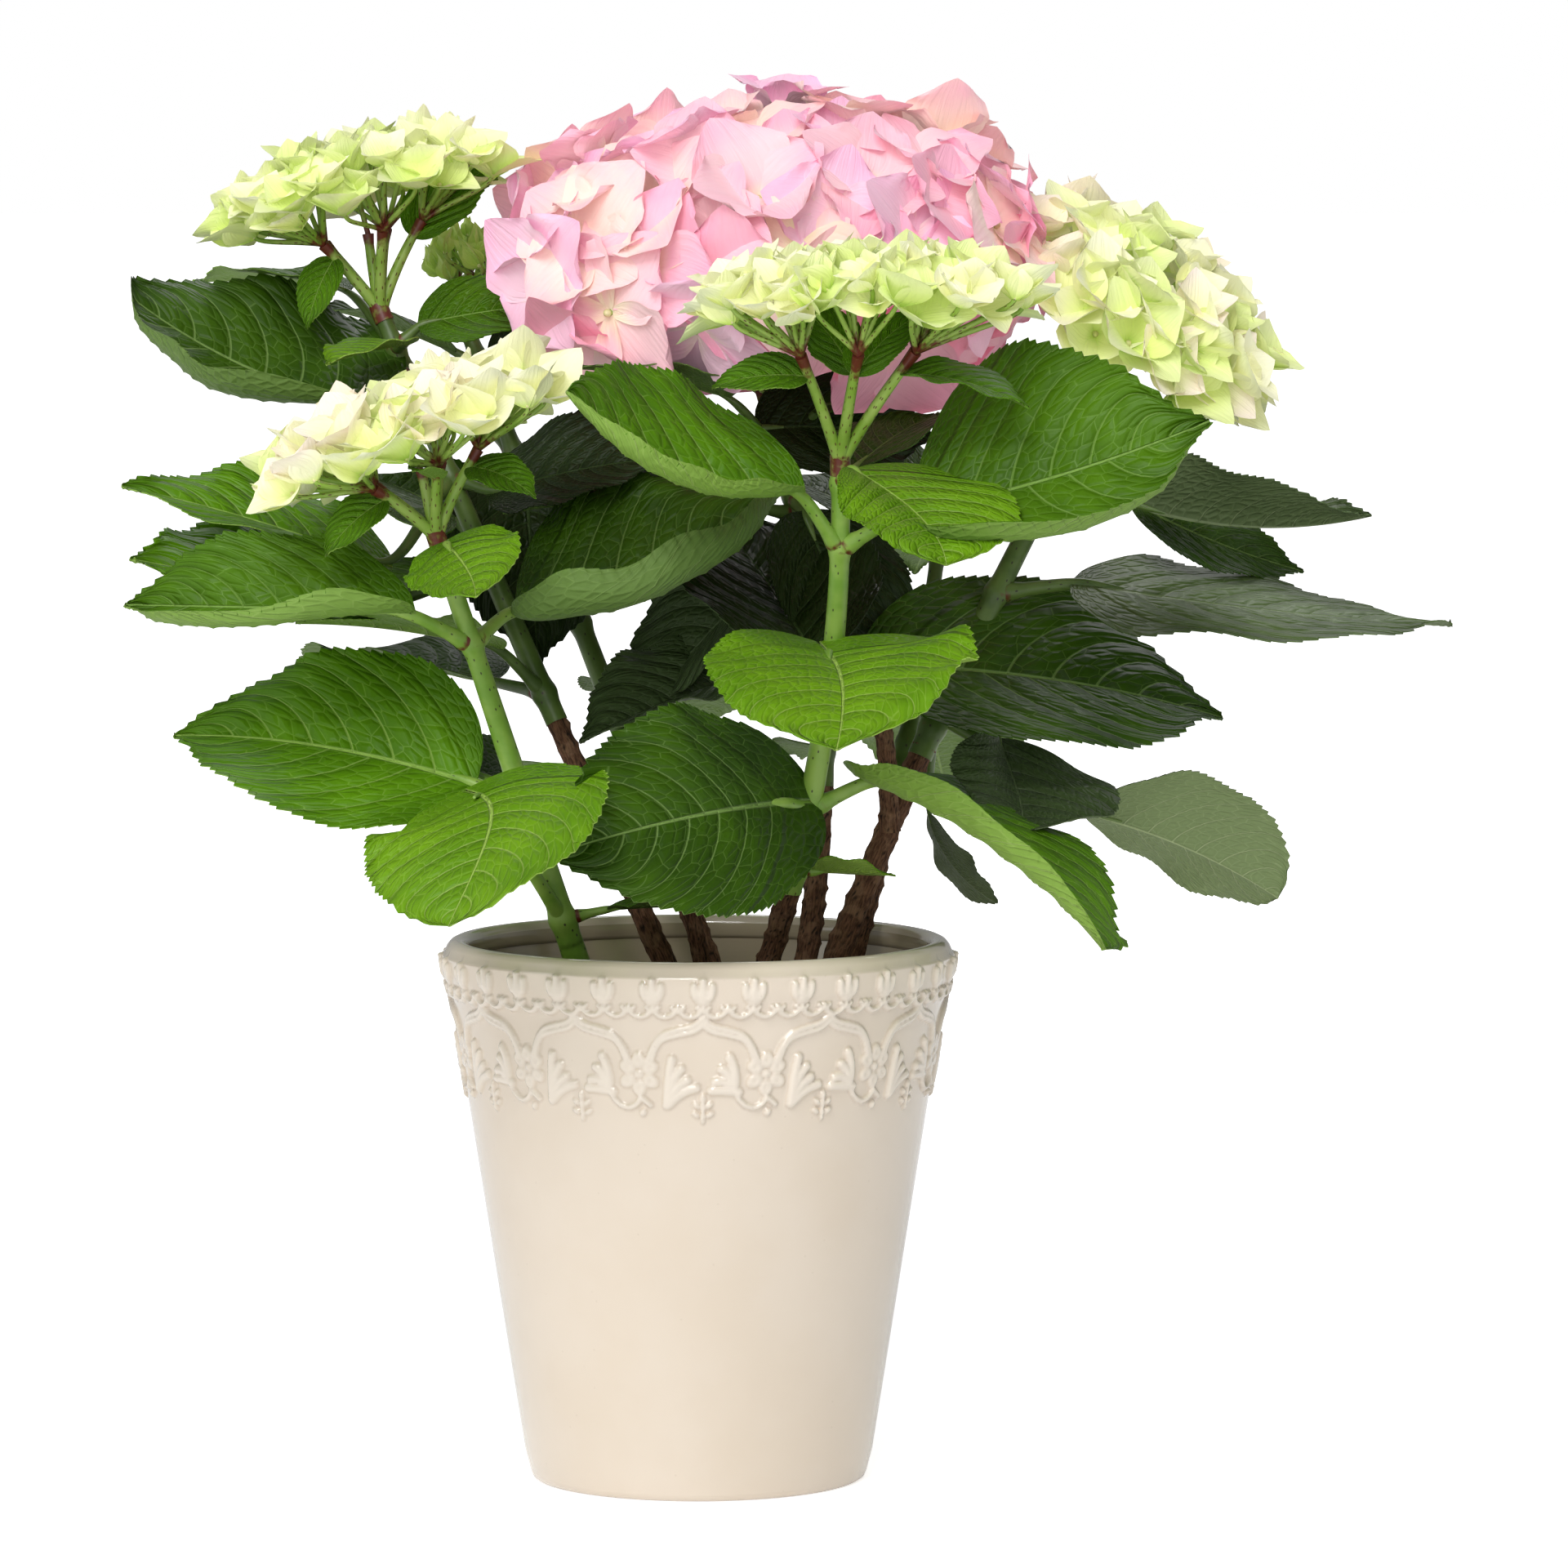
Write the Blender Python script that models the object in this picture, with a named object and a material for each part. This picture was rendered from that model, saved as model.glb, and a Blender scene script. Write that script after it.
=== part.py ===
"""Potted bigleaf hydrangea: a glazed pot of soil, seven canes, their leafy shoots and six flower heads.

Every length below is in millimetres and every angle in degrees; the last step of each shape turns it to metres.
The frame has +Z up and its origin at the centre of the pot's flat underside. The front of the plant faces -Y.
Headings are compass angles in plan: 0 points along +X, 90 along +Y (to the back).
"""
from collections import namedtuple
from math import pi, radians

import bmesh
import bpy
import numpy as np
from mathutils.bvhtree import BVHTree

MM = 0.001
CLEAR = 0.3                       # gap kept between two solids that rest on each other

# ---------------------------------------------------------------- pot and soil
# Outlines are (radius, height) points; the straight wall between foot and ornament band sets the pot's slope.
POT_HEIGHT = 170.0
FOOT = ((50.5, 0), (52.3, 0.9), (52.9, 2.8))
WALL_FOOT = (54.6, 9.2)
WALL_TOP = (70.4, 108.9)
BAND_STEPS = ((112, 1.1), (146, 1.1), (152, 0.9))      # height of the raised band, and how proud of the wall
RIM_BEAD = ((79.6, 155.5), (80.5, 160), (80.0, 164.5), (78.6, 168), (76.4, POT_HEIGHT))
RIM_LIP = ((74.0, POT_HEIGHT), (72.6, 168.6), (72.2, 163.6), (73.0, 162.6))
WALL_THICKNESS = 5.8
FLOOR_THICKNESS = 8.0
POT_SIDES = 40
SOIL_TOP = 145.0
SOIL_GAP = 1.2                    # to the pot's inner wall, wide enough for the flats of both many-sided turns
SOIL_SIDES = 28

# ---------------------------------------------------------------- canes
Cane = namedtuple("Cane", "foot top bow green radii")
# foot (x, y) on the soil, top (x, y, z) under the flower head, sideways bow of the middle (x, y),
# height where old wood gives way to this year's green shoot, radius at foot and top
CANES = {
    "front_left": Cane((-32, -6), (-79, -42, 295), (0, 0), 170, (4.3, 2.7)),
    "front_centre": Cane((16, -4), (44, -50, 318), (8, 0), 187, (4.2, 2.8)),
    "right": Cane((36.5, 6), (132, 46, 347), (-5, 0), 226, (4.8, 2.8)),
    "middle": Cane((31, 22), (22, 44, 336), (12, 10), 215, (4.2, 3.0)),
    "back_left": Cane((-3, 0), (-100, 48, 362), (-1, 0), 237, (4.2, 2.7)),
    "back": Cane((9, 22), (-76, 102, 358), (0, 4), 205, (4.0, 2.6)),
    "back_right": Cane((44, 30), (78, 96, 298), (4, 0), 198, (3.8, 2.2)),
}
GREEN_CANES = ("front_left",)     # young canes that have no brown bark yet
# foot, tip and radius of a pruned stub beside the back-left cane and a spur on the right cane's old wood
STUB = ((4, 7, SOIL_TOP + CLEAR), (-3, 5, 180), 3.1)
SPUR = ((60, 14, 202), (58, 11, 237), 3.4)
PRUNED_TAPER = (1, 1, 1, 0.85)    # a pruned end keeps its radius nearly to the cut
CANE_SIDES = 7
WOOD_RINGS = 4
STEM_RINGS = 6
ASKEW = (0.31, 0.95, 0.05)        # a direction that no limb runs along, which rings are measured from

# ---------------------------------------------------------------- leaves
Leaf = namedtuple("Leaf", "node out rise reach heading pitch length roll bend fold hem wide",
                  defaults=(0, 15, 12, 0, 0.70))
# node: height on the cane. The leaf stalk leaves it at compass angle out, climbs at rise and is reach long.
# The blade then points along heading and pitch; roll turns it about its midrib, left side up; bend is how far
# its tip droops; fold lifts both halves off the midrib; hem curls the left margin up (right one if negative);
# wide is its width over its length.
LEAVES = {
    "front_left": (
        Leaf(177, -113, 40, 67, -92, -17, 94, 0, 25, 24, 0, 0.82),
        Leaf(177, 0, 12, 16, -10, 0, 36),
        Leaf(213, -144, 19, 17, -155, 11, 104, -45, 8, 10, 0, 0.7),
        Leaf(213, 120, 14, 30, 135, 2, 76),
        Leaf(264, -154, 24, 29, -155, -2, 88, -25, 15, 15, 30),
        Leaf(264, 35, 23, 26, -6, 28, 90, 30, 10, 12, -50),
        Leaf(290, -93, 30, 9, -76, -20, 50, -5, 30, 10),
        Leaf(290, 100, 35, 14, 130, 10, 36),
    ),
    "front_centre": (
        Leaf(193, -5, -6, 7, -30, 0, 28, -20, 10, 10),
        Leaf(212, -90, 12, 18, -155, -8, 92, -52, 15, 8, 0, 0.85),
        Leaf(212, -43, 19, 26, -36, -28, 102, 0, 10, 20, 0, 0.6),
        Leaf(253, -84, 16, 9, -88, -6, 98, 0, 36, 14, 0, 0.82),
        Leaf(253, 107, 19, 22, 128, 52, 78, 0, 5, 8),
        Leaf(294, -129, 40, 25, -140, 25, 92, -30, 10, 12, 50),
        Leaf(294, -14, 22, 30, -17, 18, 92, 55, -10, 12, -40, 0.92),
        Leaf(314, -50, 4, 13, -53, -22, 70, 5, 25, 12, 0, 0.9),
        Leaf(314, 74, 14, 21, 58, 17, 49),
    ),
    "right": (
        Leaf(234, 93, -62, 32, 20, -48, 38),
        Leaf(238, -20, 4, 6, -10, -25, 64, 20, 20, 28),
        Leaf(238, 13, -40, 46, 30, -20, 94, -35, 10, 8),
        Leaf(276, 16, -18, 33, 12, -1, 118, -20, -15, 30, 0, 0.55),
        Leaf(256, 60, 8, 24, 50, 0, 76),
        Leaf(316, -40, -15, 30, -18, -8, 78, 10, 10, 26, 0, 0.6),
        Leaf(316, 30, -18, 30, 45, -28, 78, 0, 15, 12, 0, 0.6),
    ),
    "middle": (
        Leaf(225, 80, 1, 12, 100, -8, 50),
        Leaf(250, -64, 12, 43, -21, -7, 108, 48, 5, 6, 0, 0.75),
        Leaf(268, -170, 14, 32, -152, -40, 62, 0, 10, 30),
        Leaf(268, 90, 18, 26, 110, 5, 75),
        Leaf(300, 200, 10, 30, 188, -3, 66, -10),
        Leaf(318, -125, 32, 40, -148, 10, 54),
        Leaf(318, -45, 44, 24, -27, 8, 49),
        Leaf(322, 60, 30, 20, 75, 10, 70),
    ),
    "back_left": (
        Leaf(245, -149, 40, 24, -158, 8, 66),
        Leaf(245, 130, 5, 32, 140, 2, 80),
        Leaf(285, -142, 13, 32, -164, -2, 92, -20),
        Leaf(291, 110, 15, 30, 118, 8, 75),
        Leaf(312, -131, -18, 44, -158, 6, 80, -15, 10, 12, 0, 0.6),
        Leaf(312, -34, -11, 19, -21, 11, 50),
        Leaf(345, -129, -10, 32, -143, 24, 92, -40, 0, 10, 20),
        Leaf(353, -79, 5, 16, -127, -8, 38),
        Leaf(353, 126, 30, 36, 155, 2, 55),
    ),
    "back": (
        Leaf(212, 125, 8, 26, 125, -14, 92),
        Leaf(298, 40, 20, 24, 72, -12, 85),
        Leaf(236, 60, 12, 24, 82, -14, 84),
        Leaf(264, -160, 20, 24, 168, 0, 85),
        Leaf(318, 118, 20, 24, 112, -8, 88),
        Leaf(318, -62, 20, 14, -60, 5, 40),
        Leaf(345, 178, 30, 12, 188, 18, 46),
        Leaf(335, 0, 15, 12, -5, 0, 60),
    ),
    "back_right": (
        Leaf(226, 65, 16, 26, 62, -22, 94),
        Leaf(254, 150, 20, 24, 118, -8, 85),
        Leaf(240, -20, 10, 22, 14, -12, 76),
        Leaf(285, 70, 22, 20, 62, -12, 90),
        Leaf(285, 160, 25, 20, 130, 15, 60),
        Leaf(297, 150, 50, 8, 150, 40, 48),
        Leaf(297, -30, 50, 8, -35, 30, 46),
    ),
}
LEAF_STEPS = (6, 2)               # faces along and across a blade
HEMMED_STEPS = (6, 4)             # the same for a blade with a curled margin
BRACT_STEPS = (4, 2)              # and for one under BRACT_LENGTH
BRACT_LENGTH = 60.0
LEAF_THICKNESS = 0.014            # of the blade's length
OUTLINE_POWERS = (0.5, 0.75)      # blade half-width is t**0.5 * (1 - t)**0.75, t running from base to tip
TIP_WIDTH = 0.03                  # but never under this share of its widest
STALK_RADII = (2.1, 1.4)          # of a leaf stalk at the cane and under the blade
STALK_FULL = 100.0                # length of blade from which its stalk has those radii; at none it has half
STALK_RUN_ON = 0.1                # how far the stalk runs on under the midrib, of the blade's length
STALK_SIDES = 4

# ---------------------------------------------------------------- flower heads
Bloom = namedtuple("Bloom", "centre size lean_to lean florets floret spread stalks bracts")
# centre of the head, its length, depth and height, the way it leans and by how much, the number of florets and
# their diameter, how far down the sides they go, the number of flower stalks, and (stalk, heading, length) of
# the small leaves on them
BLOOMS = {
    "front_left": Bloom((-88, -45, 331), (104, 78, 32), 180, 21, 19, 27, 96, 4,
                        ((0, -150, 24), (2, -40, 20))),
    "front_centre": Bloom((51, -73, 372), (112, 74, 32), 0, -2, 19, 27, 96, 4,
                          ((0, -170, 26), (2, -20, 38))),
    "right": Bloom((143, 56, 366), (104, 90, 52), -20, 36, 20, 30, 104, 4, ()),
    "middle": Bloom((22, 46, 384), (182, 154, 112), 0, 0, 26, 56, 122, 5, ()),
    "back_left": Bloom((-108, 52, 404), (98, 72, 36), 180, 14, 18, 26, 96, 4,
                       ((0, -110, 22), (2, 10, 28))),
    "back": Bloom((-80, 106, 382), (52, 50, 28), 90, 10, 8, 20, 96, 3, ()),
}
KNOT_LENGTH = 3.5                 # swollen knot where the flower stalks fork
KNOT_TIP = (2.0, 1.6)             # length and radius of the knot's blunt end
FLOWER_STALK_RADII = (2.0, 1.5)   # at the fork and under the head
STALK_END = (0.5, -0.35)          # a flower stalk's end: out and up from the centre, of the head's half size
FLORET_DEPTH = 0.65               # length of a floret's cone over its diameter
FLORET_LOBES = 4
EYE_DEPTH = 0.25                  # how far a floret's eye lies below its rim, over its radius
PETAL_NOTCH = 0.55                # radius between two petals over the radius at their tips
FLORET_TURN = 1.3                 # radians that each floret is turned on from the one before
FLORET_ASKEW = (0.3, 0.2, 0.93)   # a direction that no floret faces, which its petals are measured from
CORE_INSET = 0.275                # how far the core lies inside the florets' rims, over a floret's diameter
CORE_STEPS = (10, 5)              # faces round and down the core of a head
BRACT_FOOT = 0.6                  # where a small leaf grows on a flower stalk, from fork to head
BRACT_POSE = {"pitch": -5, "bend": 30, "fold": 12, "wide": 0.6}
BRACT_THICKNESS = 0.9

COLOURS = {                       # base colour and roughness of each kind of part
    "glaze": ((0.72, 0.63, 0.53), 0.15),
    "soil": ((0.06, 0.04, 0.03), 0.95),
    "wood": ((0.16, 0.09, 0.05), 0.85),
    "green_stem": ((0.26, 0.40, 0.08), 0.5),
    "leaf": ((0.10, 0.28, 0.04), 0.45),
    "cream_bloom": ((0.74, 0.80, 0.45), 0.55),
    "pink_bloom": ((0.87, 0.47, 0.55), 0.55),
}


# ---------------------------------------------------------------- shared geometry
def clear_scene():
    """Start from an empty scene."""
    for item in list(bpy.data.objects):
        bpy.data.objects.remove(item, do_unlink=True)


def make_material(name):
    """A Principled material of the named kind, built once."""
    if name in bpy.data.materials:
        return bpy.data.materials[name]
    colour, roughness = COLOURS[name]
    material = bpy.data.materials.new(name)
    material.use_nodes = True
    shader = material.node_tree.nodes["Principled BSDF"]
    shader.inputs["Base Color"].default_value = (*colour, 1.0)
    shader.inputs["Roughness"].default_value = roughness
    material.diffuse_color = (*colour, 1.0)
    return material


def add_object(name, shape, material=None):
    """Put a (points in millimetres, faces) shape into the scene as one object."""
    points, faces = shape
    mesh = bpy.data.meshes.new(name)
    mesh.from_pydata((np.asarray(points) * MM).tolist(), [], faces)
    mesh.update()
    item = bpy.data.objects.new(name, mesh)
    bpy.context.scene.collection.objects.link(item)
    if material:
        mesh.materials.append(make_material(material))
    return item


def compass(heading, pitch):
    """Unit vectors that point along compass angles and pitches given in degrees."""
    h = np.radians(heading)
    p = np.radians(pitch)
    return np.stack([np.cos(h) * np.cos(p), np.sin(h) * np.cos(p), np.sin(p) + 0 * h], axis=-1)


def unit(vectors):
    """Vectors scaled to length one."""
    return vectors / np.linalg.norm(vectors, axis=-1, keepdims=True)


def grid_faces(rows, columns, closed):
    """Quads between neighbouring rows of a grid of points; a closed grid joins its last column to its first."""
    span = columns if closed else columns - 1
    return [(r * columns + c, r * columns + (c + 1) % columns,
             (r + 1) * columns + (c + 1) % columns, (r + 1) * columns + c)
            for r in range(rows - 1) for c in range(span)]


def tube(path, radii, sides, level_foot=False):
    """A round limb: a ring of points at each point of the path, both ends capped; a level foot is cut flat."""
    path = np.asarray(path, dtype=float)
    along = unit(np.gradient(path, axis=0))
    if level_foot:
        along[0] = (0, 0, 1)
    side = unit(np.cross(along, ASKEW))
    other = np.cross(along, side)
    turn = np.linspace(0, 2 * pi, sides, endpoint=False)
    ring = np.cos(turn)[None, :, None] * side[:, None] + np.sin(turn)[None, :, None] * other[:, None]
    points = path[:, None] + ring * np.asarray(radii, dtype=float)[:, None, None]
    faces = grid_faces(len(path), sides, True)
    first = len(path) * sides - sides
    faces.append(tuple(reversed(range(sides))))
    faces.append(tuple(range(first, first + sides)))
    return points.reshape(-1, 3), faces


def thick_sheet(middle, normal, thickness):
    """A closed plate: a grid of middle points moved half a thickness to each side and walled round its edge."""
    rows, columns = middle.shape[:2]
    top = (middle + normal * thickness / 2).reshape(-1, 3)
    bottom = (middle - normal * thickness / 2).reshape(-1, 3)
    count = rows * columns
    quads = grid_faces(rows, columns, False)
    faces = [tuple(reversed(quad)) for quad in quads]
    faces += [tuple(i + count for i in quad) for quad in quads]
    edge = [(0, c) for c in range(columns)] + [(r, columns - 1) for r in range(1, rows)]
    edge += [(rows - 1, c) for c in range(columns - 2, -1, -1)] + [(r, 0) for r in range(rows - 2, 0, -1)]
    loop = [r * columns + c for r, c in edge]
    for here, there in zip(loop, loop[1:] + loop[:1]):
        faces.append((here, there, there + count, here + count))
    return np.concatenate([top, bottom]), faces


def turned(profile, sides):
    """A body of revolution: (radius, height) points from the axis round and back to it, spun about Z."""
    mesh = bmesh.new()
    corners = [mesh.verts.new((r, 0, z)) for r, z in profile]
    edges = [mesh.edges.new(pair) for pair in zip(corners, corners[1:])]
    bmesh.ops.spin(mesh, geom=corners + edges, cent=(0, 0, 0), axis=(0, 0, 1), angle=2 * pi, steps=sides)
    bmesh.ops.remove_doubles(mesh, verts=mesh.verts, dist=1e-3)
    bmesh.ops.recalc_face_normals(mesh, faces=mesh.faces)
    mesh.verts.index_update()
    points = [tuple(v.co) for v in mesh.verts]
    faces = [tuple(v.index for v in face.verts) for face in mesh.faces]
    mesh.free()
    return points, faces


# ---------------------------------------------------------------- keeping solids apart
class Claimed:
    """The surfaces that finished nodes hold, so that a later leaf that would touch one is left out."""

    def __init__(self):
        self.trees = []

    def add(self, item):
        mesh = item.data
        points = [v.co.copy() for v in mesh.vertices]
        self.trees.append(BVHTree.FromPolygons(points, [tuple(p.vertices) for p in mesh.polygons]))

    def touches(self, shape):
        points, faces = shape
        tree = BVHTree.FromPolygons((np.asarray(points) * MM).tolist(), faces, epsilon=CLEAR * MM)
        return any(tree.overlap(other) for other in self.trees)


def keep_outer_shell(mesh):
    """Drop all but the largest closed surface of a mesh: sealed hollows become solid and loose scraps go."""
    body = bmesh.new()
    body.from_mesh(mesh)
    shells = []
    seen = set()
    for start in body.faces:
        if start in seen:
            continue
        shell = [start]
        seen.add(start)
        for face in shell:
            for edge in face.edges:
                for neighbour in edge.link_faces:
                    if neighbour not in seen:
                        seen.add(neighbour)
                        shell.append(neighbour)
        shells.append(shell)
    largest = max(shells, key=len)
    spare = [face for shell in shells if shell is not largest for face in shell]
    bmesh.ops.delete(body, geom=spare, context="FACES")
    body.to_mesh(mesh)
    body.free()


def fuse(name, base, pieces, material):
    """Join overlapping pieces onto the base piece with one Boolean union and keep the result as one object."""
    node = add_object(name, base, material)
    if not pieces:
        return node
    group = bpy.data.collections.new(name + "_pieces")
    bpy.context.scene.collection.children.link(group)
    for number, piece in enumerate(pieces):
        part = add_object("%s_piece_%d" % (name, number), piece)
        bpy.context.scene.collection.objects.unlink(part)
        group.objects.link(part)
    union = node.modifiers.new("union", "BOOLEAN")
    union.operation = "UNION"
    union.operand_type = "COLLECTION"
    union.solver = "MANIFOLD"
    union.collection = group
    graph = bpy.context.evaluated_depsgraph_get()
    joined = bpy.data.meshes.new_from_object(node.evaluated_get(graph))
    node.modifiers.clear()
    keep_outer_shell(joined)
    node.data = joined
    joined.materials.clear()
    joined.materials.append(make_material(material))
    for part in list(group.objects):
        bpy.data.objects.remove(part, do_unlink=True)
    bpy.data.collections.remove(group)
    return node


# ---------------------------------------------------------------- pot, soil and canes
def wall_radius(z):
    """Radius of the pot's straight outer wall at a height, its slope carried on above and below."""
    foot_r, foot_z = WALL_FOOT
    top_r, top_z = WALL_TOP
    return foot_r + (z - foot_z) * (top_r - foot_r) / (top_z - foot_z)


def inner_radius(z):
    """Radius of the pot's inner wall at a height: a straight line from the floor to the foot of the lip."""
    lip_r, lip_z = RIM_LIP[-1]
    return np.interp(z, (FLOOR_THICKNESS, lip_z), (wall_radius(FLOOR_THICKNESS) - WALL_THICKNESS, lip_r))


def pot_profile():
    """Outline of the pot from its middle underneath, up the outside, over the rim and down the inside."""
    outside = [(0, 0), *FOOT, WALL_FOOT, WALL_TOP]
    band = [(wall_radius(z) + proud, z) for z, proud in BAND_STEPS]
    inside = [(inner_radius(FLOOR_THICKNESS), FLOOR_THICKNESS), (0, FLOOR_THICKNESS)]
    return [*outside, *band, *RIM_BEAD, *RIM_LIP, *inside]


def make_pot():
    item = add_object("pot", turned(pot_profile(), POT_SIDES), "glaze")
    item.data.shade_smooth()
    item.data.set_sharp_from_angle(angle=radians(30))
    return item


def make_soil():
    """The root ball: a plug just clear of the pot's inner wall and floor."""
    low = FLOOR_THICKNESS + CLEAR
    side = [(inner_radius(z) - SOIL_GAP, z) for z in (low, SOIL_TOP)]
    return add_object("soil", turned([(0, low), *side, (0, SOIL_TOP)], SOIL_SIDES), "soil")


def cane_point(cane, z):
    """Centre line of a cane: straight from foot to top, with a parabolic bow between them."""
    z = np.asarray(z, dtype=float)
    s = (z - SOIL_TOP) / (cane.top[2] - SOIL_TOP)
    bow = 4 * s * (1 - s)
    x = cane.foot[0] + (cane.top[0] - cane.foot[0]) * s + cane.bow[0] * bow
    y = cane.foot[1] + (cane.top[1] - cane.foot[1]) * s + cane.bow[1] * bow
    return np.stack([x, y, z], axis=-1)


def cane_radius(cane, z):
    """Radius of a cane, tapering evenly from foot to top."""
    return np.interp(z, (SOIL_TOP, cane.top[2]), cane.radii)


def cane_tube(cane, low, high, rings):
    """The stretch of a cane between two heights."""
    heights = np.linspace(low, high, rings)
    on_soil = low < SOIL_TOP + 1
    return tube(cane_point(cane, heights), cane_radius(cane, heights), CANE_SIDES, on_soil)


def pruned_tube(limb, on_soil):
    """A short limb that was cut back: nearly even in radius up to its flat cut."""
    low, high, radius = limb
    taper = np.array(PRUNED_TAPER)
    return tube(np.linspace(low, high, len(taper)), radius * taper, CANE_SIDES, on_soil)


def make_canes():
    """The old wood, from the soil up to where the green shoots start; the right cane keeps a pruned spur."""
    canes = []
    for name, cane in CANES.items():
        wood = cane_tube(cane, SOIL_TOP + CLEAR, cane.green, WOOD_RINGS)
        spurs = [pruned_tube(SPUR, False)] if name == "right" else []
        canes.append(fuse("cane_" + name, wood, spurs, "green_stem" if name in GREEN_CANES else "wood"))
    canes.append(add_object("cane_stub", pruned_tube(STUB, True), "wood"))
    return canes


# ---------------------------------------------------------------- leaves
def blade(base, leaf, steps):
    """Middle surface and up direction of a blade.

    The midrib is an arc whose pitch falls by bend from base to tip. Half-widths follow the ovate outline.
    Each half leaves the midrib at the fold angle, and the hem adds to that towards one margin.
    """
    along, across = steps
    t = np.linspace(0, 1, along + 1)
    v = np.linspace(-1, 1, across + 1)
    pitch = leaf.pitch + leaf.bend * (0.5 - t)
    forward = compass(np.full_like(t, leaf.heading), pitch)
    stride = (forward[1:] + forward[:-1]) / 2 * leaf.length / along
    midrib = base + np.concatenate([np.zeros((1, 3)), np.cumsum(stride, axis=0)])
    side = compass(leaf.heading + 90.0, 0.0)[None, :] + 0 * forward
    up = np.cross(forward, side)
    tilt = radians(leaf.roll)
    side, up = side * np.cos(tilt) + up * np.sin(tilt), up * np.cos(tilt) - side * np.sin(tilt)
    a, b = OUTLINE_POWERS
    peak = (a / (a + b)) ** a * (b / (a + b)) ** b
    half = leaf.length * leaf.wide / 2 * np.clip(t ** a * (1 - t) ** b / peak, TIP_WIDTH, 1)
    hem = np.where(v * leaf.hem > 0, abs(leaf.hem), 0.0) * v ** 2
    lift = np.radians(leaf.fold + hem)
    out = half[:, None] * (v * np.cos(lift))[None, :]
    rise = half[:, None] * (np.abs(v) * np.sin(lift))[None, :]
    middle = midrib[:, None] + out[..., None] * side[:, None] + rise[..., None] * up[:, None]
    return middle, np.broadcast_to(up[:, None], middle.shape)


def leaf_shapes(cane, leaf):
    """The stalk and the blade of one leaf, the stalk rooted in the cane and running on under the midrib."""
    root = cane_point(cane, leaf.node)
    base = root + compass(leaf.out, leaf.rise) * leaf.reach
    steps = BRACT_STEPS if leaf.length < BRACT_LENGTH else HEMMED_STEPS if leaf.hem else LEAF_STEPS
    middle, up = blade(base, leaf, steps)
    thickness = leaf.length * LEAF_THICKNESS
    plate = thick_sheet(middle, up, thickness)
    run_on = base + compass(leaf.heading, leaf.pitch + leaf.bend / 2) * leaf.length * STALK_RUN_ON
    path = [root, (root + base) / 2, base, run_on]
    scale = min(1.0, 0.5 + 0.5 * leaf.length / STALK_FULL)
    foot_radius, end_radius = STALK_RADII
    radii = np.linspace(foot_radius, end_radius, len(path)) * scale
    return tube(path, radii, STALK_SIDES), plate


def make_shoot(name, claimed):
    """This year's growth on one cane: its green stem with pairs of stalked leaves fused on."""
    cane = CANES[name]
    stem = cane_tube(cane, cane.green + CLEAR, cane.top[2], STEM_RINGS)
    pieces = []
    for leaf in LEAVES[name]:
        shapes = leaf_shapes(cane, leaf)
        if not any(claimed.touches(shape) for shape in shapes):
            pieces += shapes
    return fuse("shoot_" + name, stem, pieces, "leaf")


# ---------------------------------------------------------------- flower heads
def head_axes(bloom):
    """Long, deep and upright axes of a flower head: the upright one leans from vertical towards lean_to."""
    up = compass(bloom.lean_to, 90.0 - bloom.lean)
    long = unit(compass(bloom.lean_to, 0.0) - up * np.dot(compass(bloom.lean_to, 0.0), up))
    return np.stack([long, np.cross(up, long), up])


def head_spots(bloom):
    """Directions spread evenly over the top of the head: a golden-angle spiral from its crown down its sides."""
    count = np.arange(bloom.florets) + 0.5
    height = 1 - count / bloom.florets * (1 - np.cos(radians(bloom.spread)))
    turn = count * pi * (3 - 5 ** 0.5)
    flat = np.sqrt(1 - height ** 2)
    return np.stack([flat * np.cos(turn), flat * np.sin(turn), height], axis=-1)


def floret(tip, outward, bloom, turn):
    """One four-lobed floret: a star-shaped cone that opens outward from a point inside the head."""
    radius = bloom.floret / 2
    side = unit(np.cross(outward, FLORET_ASKEW))
    other = np.cross(outward, side)
    count = 2 * FLORET_LOBES
    corner = np.arange(count)
    angle = corner * 2 * pi / count + turn
    reach = np.where(corner % 2 == 0, radius, radius * PETAL_NOTCH)
    rim = tip + reach[:, None] * (np.cos(angle)[:, None] * side + np.sin(angle)[:, None] * other)
    eye = tip - outward * radius * EYE_DEPTH
    root = tip - outward * bloom.floret * FLORET_DEPTH
    faces = [(i, (i + 1) % count, count) for i in range(count)]
    faces += [((i + 1) % count, i, count + 1) for i in range(count)]
    return np.concatenate([rim, [eye, root]]), faces


def head_core(bloom, axes):
    """The dense heart of the head: a flattened ball that the florets stand out of."""
    mesh = bmesh.new()
    bmesh.ops.create_uvsphere(mesh, u_segments=CORE_STEPS[0], v_segments=CORE_STEPS[1], radius=1.0)
    mesh.verts.index_update()
    ball = np.array([tuple(v.co) for v in mesh.verts])
    faces = [tuple(v.index for v in face.verts) for face in mesh.faces]
    mesh.free()
    return bloom.centre + (ball * (np.array(bloom.size) / 2 - bloom.floret * CORE_INSET)) @ axes, faces


def flower_stalks(bloom, axes, knot):
    """The flower stalks, which fan out from the knot into the underside of the head, and where each ends."""
    out, up = STALK_END
    turn = 2 * pi * (np.arange(bloom.stalks) + 0.5) / bloom.stalks
    spread = np.stack([np.cos(turn) * out, np.sin(turn) * out, np.full_like(turn, up)], axis=-1)
    ends = bloom.centre + (spread * np.array(bloom.size) / 2) @ axes
    foot_radius, end_radius = FLOWER_STALK_RADII
    radii = (foot_radius, (foot_radius + end_radius) / 2, end_radius)
    return [tube([knot, (knot + end) / 2, end], radii, STALK_SIDES) for end in ends], ends


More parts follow.
